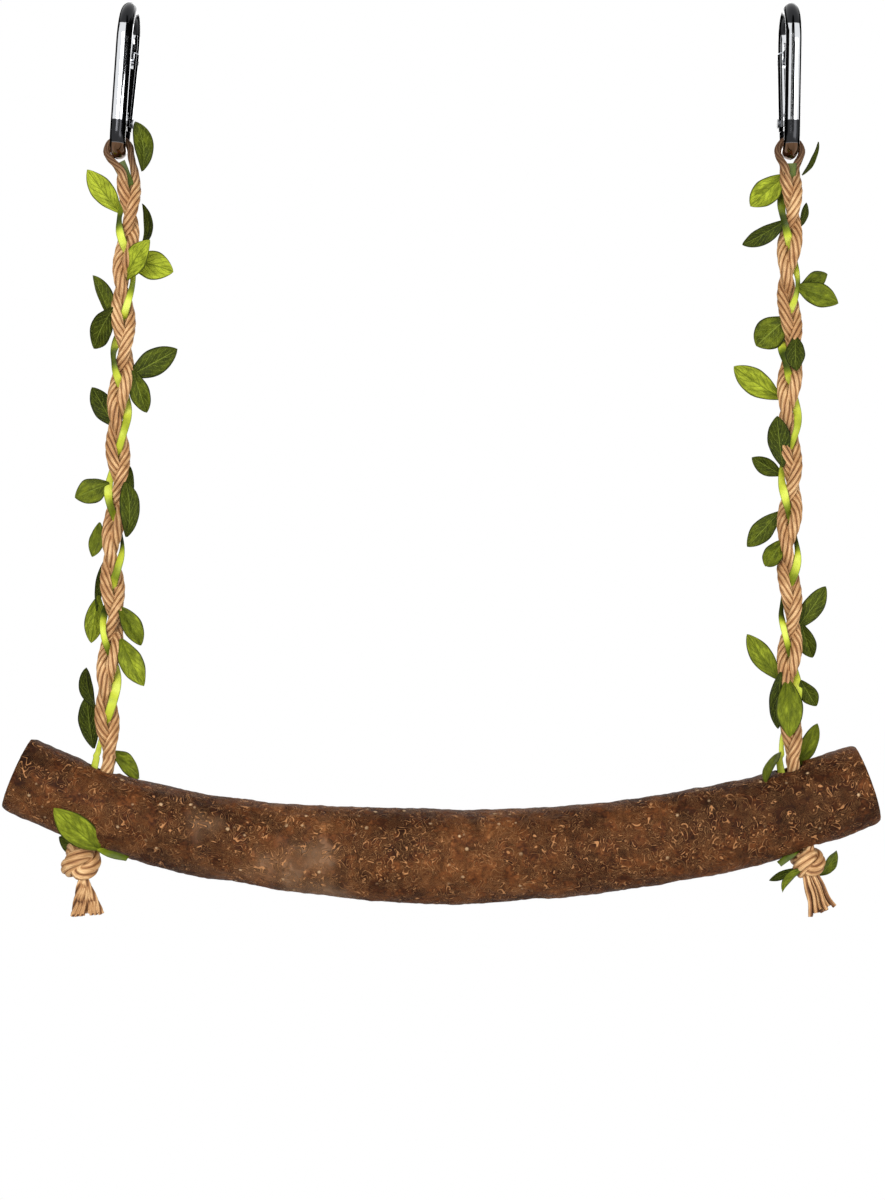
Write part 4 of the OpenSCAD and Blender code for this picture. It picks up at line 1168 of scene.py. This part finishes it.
class BIRDSWING_OT_perch(bpy.types.Operator):
    """Grows the bowed branch with its bark, sawn ends and two drilled holes"""

    bl_idname = "bird_swing.perch"
    bl_label = "Grow the perch"

    # Bow and girth at equal steps along the branch, as shares of its sag and its thickness
    bow_shares = [0, 0.44, 0.73, 0.9, 0.965, 1, 0.955, 0.865, 0.66, 0.38, 0]
    girth_shares = [0.83, 0.86, 0.88, 0.91, 0.97, 1, 0.95, 0.935, 0.92, 0.89, 0.84]
    # The sawn ends reach to this share of the girth, and the bark is rounded over the rest
    sawn_share = 0.955
    around, rows, end_rows = 132, 470, 14

    def execute(self, context):
        sizes = settings("perch_sizes")
        ropes = {side: Rope(side) for side in SIDES}
        origin = self.origin(ropes["left"])
        bm = new_bmesh()
        around, rows, end_rows, sawn = self.around, self.rows, self.end_rows, self.sawn_share

        def place(row, column):
            angle = tau * column / around
            inner = min(row, rows + 2 * end_rows - row)
            share = min(max((row - end_rows) / rows, 0), 1)
            if inner < end_rows:
                radial = inner / end_rows * sawn
            else:
                edge = min((inner - end_rows) / 3, 1)
                radial = sawn + (1 - sawn) * sin(edge * pi / 2)
            girth = sizes.thickness / 2 * curve_through(self.girth_shares, share)
            # The section is a little oval and three-sided, and both turn along the branch
            shape = 1 + 0.025 * cos(2 * angle + radians(200) * share)
            shape += 0.02 * cos(3 * angle - radians(900) * share)
            centre = self.bow(share)
            lean = self.slope(share)
            outward = Vector((sin(angle) * sin(lean), cos(angle), sin(angle) * cos(lean)))
            rough = self.roughness(centre + outward * girth) if inner >= end_rows else 0
            p = centre + outward * (girth * shape * radial + rough)
            way = Vector((cos(lean), 0, -sin(lean)))
            if inner < end_rows:
                p -= way * (0.2 * MM * noise.noise((p + way * 0.01) * 700))
            return origin + self.tilted(p), (cos(angle), sin(angle), radial), 0.5

        bent_grid(bm, rows + 2 * end_rows, around, place)
        piece = finished_piece("perch_bark", bm, material("bark", bark_finish), sharp_angle=None)
        piece.data.materials.append(material("sawn_wood", wood_finish))
        self.colour_ends(piece)
        self.drill(piece, ropes)
        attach(piece, "perch")
        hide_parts("perch_branch")
        return {"FINISHED"}

    def bow(self, share):
        sizes = settings("perch_sizes")
        return Vector((share * sizes.chord, 0, -sizes.sag * curve_through(self.bow_shares, share)))

    def slope(self, share):
        a, b = self.bow(max(0, share - 0.01)), self.bow(min(1, share + 0.01))
        return atan2(a.z - b.z, b.x - a.x)

    def tilted(self, p):
        return Matrix.Rotation(settings("perch_sizes").tilt, 3, "Y") @ p

    def origin(self, rope):
        """The left end's centre, from where the left hole's middle is."""
        sizes = settings("perch_sizes")
        share = sizes.left_inset / sizes.chord
        girth = sizes.thickness / 2 * curve_through(self.girth_shares, share)
        half_hole = girth / cos(self.slope(share) + sizes.tilt - rope.hole_lean)
        middle = rope.mouth + down(rope.hole_lean) * half_hole
        return middle - self.tilted(self.bow(share)) - Vector((0, 0, sizes.settled))

    def roughness(self, p):
        """How far the bark stands proud at a place: broad swellings, lumps and small ridges."""
        broad = noise.noise(p * 45) * 0.55
        lumps = noise.noise(p * 130 + Vector((5, 0, 0))) * 0.32
        ridges = abs(noise.noise(p * 260 + Vector((0, 7, 0)))) * 0.34
        fine = noise.noise(p * 620) * 0.13
        return (broad + lumps + ridges + fine - 0.15) * MM

    def colour_ends(self, piece):
        mesh = piece.data
        lay = mesh.attributes["lay"]
        for face in mesh.polygons:
            if all(lay.data[v].vector[2] < self.sawn_share for v in face.vertices):
                face.material_index = 1

    def drill(self, piece, ropes):
        sizes = settings("perch_sizes")
        hole_r = sizes.hole_d / 2
        for rope in ropes.values():
            bm = bmesh.new()
            middle = (rope.mouth + rope.knot_top) / 2
            turn = Matrix.Translation(middle) @ Matrix.Rotation(rope.hole_lean, 4, "Y")
            size = {"radius1": hole_r, "radius2": hole_r, "depth": 2 * sizes.thickness}
            bmesh.ops.create_cone(bm, cap_ends=True, segments=48, matrix=turn, **size)
            drill = linked("drill", mesh_of("drill", bm))
            cut = piece.modifiers.new("drill", "BOOLEAN")
            cut.operation = "DIFFERENCE"
            cut.solver = "EXACT"
            cut.object = drill
            depsgraph = bpy.context.evaluated_depsgraph_get()
            drilled = bpy.data.meshes.new_from_object(piece.evaluated_get(depsgraph), depsgraph=depsgraph)
            piece.modifiers.clear()
            piece.data = drilled
            bpy.data.objects.remove(drill)
        piece.data.name = piece.name


# Spacing of the points along a knot's or a tail's cords
FINE_STEP = 0.6 * MM


def finish_under_perch(name, bm, node):
    """Finishes a piece of jute that hangs under the perch and stands for a node."""
    close_ends(bm)
    piece = finished_piece(name, bm, material("jute", jute_finish))
    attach(piece, "perch")
    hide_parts(node)


class BIRDSWING_OT_knots(bpy.types.Operator):
    """Ties the stopper knots under the perch"""

    bl_idname = "bird_swing.knots"
    bl_label = "Tie the knots"

    ring_share = 0.19
    strand_extra = 0.2 * MM
    lay_length = 26 * MM
    first_turn = radians(40)
    steps = 240

    def execute(self, context):
        for side in SIDES:
            rope = Rope(side)
            bm = new_bmesh()
            ring_r = self.ring_share * rope.knot_d
            strand_r = ring_r + self.strand_extra
            swing_r = rope.knot_d / 2 - ring_r - strand_r
            rise = rope.knot_h / 2 - strand_r
            turn = Matrix.Translation(rope.knot_middle) @ Matrix.Rotation(rope.hole_lean, 4, "Y")
            points = []
            # A trefoil: two turns round the middle, while it goes three times over and under itself
            for i in range(self.steps + 1):
                t = 2 * tau * i / self.steps + self.first_turn
                r = ring_r + swing_r * cos(1.5 * t)
                points.append(turn @ Vector((r * cos(t), r * sin(t), rise * sin(1.5 * t))))
            route = evenly_spaced(points, FINE_STEP)
            plies = settings("rope_sizes").plies
            add_twisted_cord(bm, route, Vector((0, 0, 1)), 2 * strand_r, plies, self.lay_length, sides=12)
            finish_under_perch(side + "_stopper_knot", bm, side + "_knot")
        return {"FINISHED"}


class BIRDSWING_OT_tails(bpy.types.Operator):
    """Makes the loose ends under the knots: the left one laid open, the right one frayed into yarns"""

    bl_idname = "bird_swing.tails"
    bl_label = "Make the tails"

    # How far inside the knot the tails start
    root = 1.5 * MM
    steps = 24
    # The left tail's cords: rows of two, how far the first row fans out, how late the last one leaves
    rows, fan, latest = 6, 4.2 * MM, 0.35
    open_cord_d, open_lay_length = 2.1 * MM, 16 * MM
    # The right tail's yarns: their reach at the knot, how much they spread, and how far they wave
    yarns, yarn_r, bundle_r, spread, wave = 15, 0.74 * MM, 1.9 * MM, 2.6 * MM, 0.45 * MM

    def execute(self, context):
        self.laid_open()
        self.frayed()
        return {"FINISHED"}

    def place(self, rope, lean, shift):
        across = Vector((cos(rope.hole_lean), 0, -sin(rope.hole_lean)))
        top = rope.knot_foot - down(rope.hole_lean) * self.root + across * shift
        return Matrix.Translation(top) @ Matrix.Rotation(-lean, 4, "Y")

    def route(self, place, point):
        """The way of one cord, from a function that gives a point by its share of the way down."""
        points = [place @ Vector(point(i / self.steps)) for i in range(self.steps + 1)]
        return evenly_spaced(points, FINE_STEP)

    def laid_open(self):
        """Two rows of yarns that fan out from the middle, like the barbs of a feather."""
        knot = settings("knot_sizes")
        place = self.place(Rope("left"), knot.left_tail_lean, knot.left_tail_shift)
        length = knot.left_tail + self.root
        bm = new_bmesh()
        for row in range(self.rows):
            for hand in (-1, 1):

                def point(f):
                    # Each yarn leaves the middle further down than the one outside it
                    late = self.latest * row / self.rows
                    out = (max(0, f - late) / (1 - late)) ** 0.8
                    across = hand * (0.3 * MM + self.fan * (1 - row / self.rows) * out)
                    forward = ((-1.2 + 0.5 * row / self.rows) * cos(pi * f) - 0.6) * MM
                    return across, forward, -length * f**0.9 * (1 - 0.05 * (row % 2))

                twist = self.open_cord_d, 3, self.open_lay_length
                add_twisted_cord(bm, self.route(place, point), Vector((0, -1, 0)), *twist, sides=8)
        finish_under_perch("left_open_tail", bm, "left_tail")

    def frayed(self):
        knot = settings("knot_sizes")
        place = self.place(Rope("right"), knot.right_tail_lean, 0)
        length = knot.right_tail + self.root
        bm = new_bmesh()
        for k in range(self.yarns):
            # Set out like the seeds of a flower, from the middle
            reach = (k / (self.yarns - 1)) ** 0.5
            angle = tau * k * 0.382

            def point(f):
                out = (self.bundle_r + self.spread * f) * reach
                wave = self.wave * sin(7 * f + 2.4 * k) * f
                return out * cos(angle) + wave, out * 0.8 * sin(angle), -length * f * (1 - 0.05 * (k % 3))

            route = self.route(place, point)
            # Each yarn's outer side faces out of the bundle, so that the jute paints it light, with painted
            # shade on the side towards the bundle's middle
            outward = place.to_3x3() @ Vector((cos(angle), sin(angle), 0))
            add_tube(bm, route, [self.yarn_r] * len(route), 10, [outward] * len(route))
        finish_under_perch("right_frayed_tail", bm, "right_tail")


class BIRDSWING_OT_stage(bpy.types.Operator):
    """Sets the floor, the light, the dark flags that the chrome mirrors, and the camera"""

    bl_idname = "bird_swing.stage"
    bl_label = "Set the stage"

    # Strength of the white world as it lights the swing; as it is seen or mirrored, it is 1
    fill_light = 0.34
    floor_r = 0.55

    def execute(self, context):
        looks = settings("stage_looks")
        self.camera(looks)
        self.world()
        self.lamps(looks)
        self.floor(looks)
        self.flags()
        context.scene.view_settings.view_transform = "Standard"
        return {"FINISHED"}

    def camera(self, looks):
        data = bpy.data.cameras.new("camera")
        camera = linked("camera", data)
        camera.location = (looks.aim_x, -looks.camera_distance, looks.aim_z)
        camera.rotation_euler = (radians(90), 0, 0)
        # The picture is upright, so the sensor's long side is its height
        data.lens = data.sensor_width * looks.camera_distance / looks.view_height
        bpy.context.scene.camera = camera

    def world(self):
        world = bpy.data.worlds.new("studio")
        bpy.context.scene.world = world
        world.use_nodes = True
        nodes = Nodes(world.node_tree)
        mirrored = nodes.ray("Glossy").math("MAXIMUM", nodes.ray("Transmission"))
        seen = nodes.ray("Camera").math("MAXIMUM", mirrored)
        background = nodes.tree.nodes["Background"]
        nodes.fill(background.inputs["Color"], (1, 1, 1))
        nodes.fill(background.inputs["Strength"], self.fill_light + seen * (1 - self.fill_light))

    def lamps(self, looks):
        centre = Vector((0, 0, looks.aim_z))
        for name, place, size, power in (
            ("key", (-0.35, -1.1, 0.3), 0.6, 14),
            ("fill", (0.8, -0.9, -0.1), 0.8, 8),
            ("back", (0.2, 0.9, 0.5), 0.6, 2),
        ):
            lamp = linked(name, bpy.data.lights.new(name, "AREA"))
            lamp.data.size, lamp.data.energy = size, power
            lamp.location = Vector(place) + centre
            lamp.rotation_mode = "QUATERNION"
            lamp.rotation_quaternion = (centre - lamp.location).to_track_quat("-Z", "Y")

    def floor(self, looks):
        """A round pale floor that fades into the white backdrop."""
        bm = bmesh.new()
        bmesh.ops.create_circle(bm, cap_ends=True, segments=64, radius=self.floor_r)
        floor = linked("floor", mesh_of("floor", bm))
        floor.location = (0, 0, looks.floor_z)
        finish = Finish("floor", Base_Color=(0.82, 0.82, 0.82), Roughness=0.9, Specular_IOR_Level=0.1)
        x, y = (finish.part(finish.place(), axis) for axis in "XY")
        fade = (x * x + y * y).math("SQRT").step(0.3, 0.54)
        glow = finish.node("ShaderNodeEmission", None, {"Color": (1, 1, 1)})
        factor = finish.ray("Camera") * (0.55 + fade * 0.45)
        blended = finish.node("ShaderNodeMixShader", None, {0: factor, 1: finish.shader.outputs[0], 2: glow})
        finish.fill(finish.tree.nodes["Material Output"].inputs[0], blended)
        floor.data.materials.append(finish.material)

    def flags(self):
        """Dark boards before and behind the swing, seen only in surfaces that mirror."""
        finish = Finish("flag", Base_Color=(0.004, 0.004, 0.004), Roughness=1.0, Specular_IOR_Level=0.0)
        for number, line in enumerate(back_boards()):
            self.board(f"flag_{number}", finish, line)
        self.board("flag_front", finish, ((-0.051, -0.217), (0.16, -0.217)), foot=-0.06)
        self.board("flag_side", finish, ((-0.049, -0.057), (-0.026, 0.011)), foot=-0.06, head=0.06)

    def board(self, name, finish, line, foot=-0.45, head=0.75):
        """A tall board that stands on a line, seen from above."""
        start, end = line
        bm = bmesh.new()
        corners = [(*start, foot), (*end, foot), (*end, head), (*start, head)]
        bmesh.ops.contextual_create(bm, geom=[bm.verts.new(corner) for corner in corners])
        flag = linked(name, mesh_of(name, bm))
        flag.data.materials.append(finish.material)
        for ray in ("camera", "diffuse", "shadow", "transmission"):
            setattr(flag, "visible_" + ray, False)


def back_boards():
    """The lines of the boards behind the swing: an arc on each side, with a bright gap between them."""
    radius, step = 1.3, 12
    for side in (-1, 1):
        for azimuth in range(96, 168, step):
            ends = radians(azimuth), radians(azimuth + step)
            yield tuple((side * radius * sin(angle), -radius * cos(angle)) for angle in ends)


STEPS = ("stage", "hooks", "cords", "ribbons", "leaves", "perch", "knots", "tails")


class BIRDSWING_PT_panel(bpy.types.Panel):
    bl_label = "Bird Swing"
    bl_idname = "BIRDSWING_PT_panel"
    bl_space_type = "VIEW_3D"
    bl_region_type = "UI"
    bl_category = "Bird Swing"

    def draw(self, context):
        for step in STEPS:
            self.layout.operator("bird_swing." + step)
        for group, kind in GROUPS.items():
            box = self.layout.box()
            box.label(text=group.replace("_", " ").capitalize())
            for name in kind.__annotations__:
                box.prop(settings(group), name)


CLASSES = (
    *GROUPS.values(),
    BIRDSWING_OT_stage,
    BIRDSWING_OT_hooks,
    BIRDSWING_OT_cords,
    BIRDSWING_OT_ribbons,
    BIRDSWING_OT_leaves,
    BIRDSWING_OT_perch,
    BIRDSWING_OT_knots,
    BIRDSWING_OT_tails,
    BIRDSWING_PT_panel,
)


def register():
    for kind in CLASSES:
        bpy.utils.register_class(kind)
    for group, kind in GROUPS.items():
        setattr(bpy.types.Scene, "bird_swing_" + group, PointerProperty(type=kind))


def unregister():
    for group in GROUPS:
        delattr(bpy.types.Scene, "bird_swing_" + group)
    for kind in reversed(CLASSES):
        bpy.utils.unregister_class(kind)


def main():
    register()
    for step in STEPS:
        getattr(bpy.ops.bird_swing, step)()


if __name__ == "__main__":
    main()
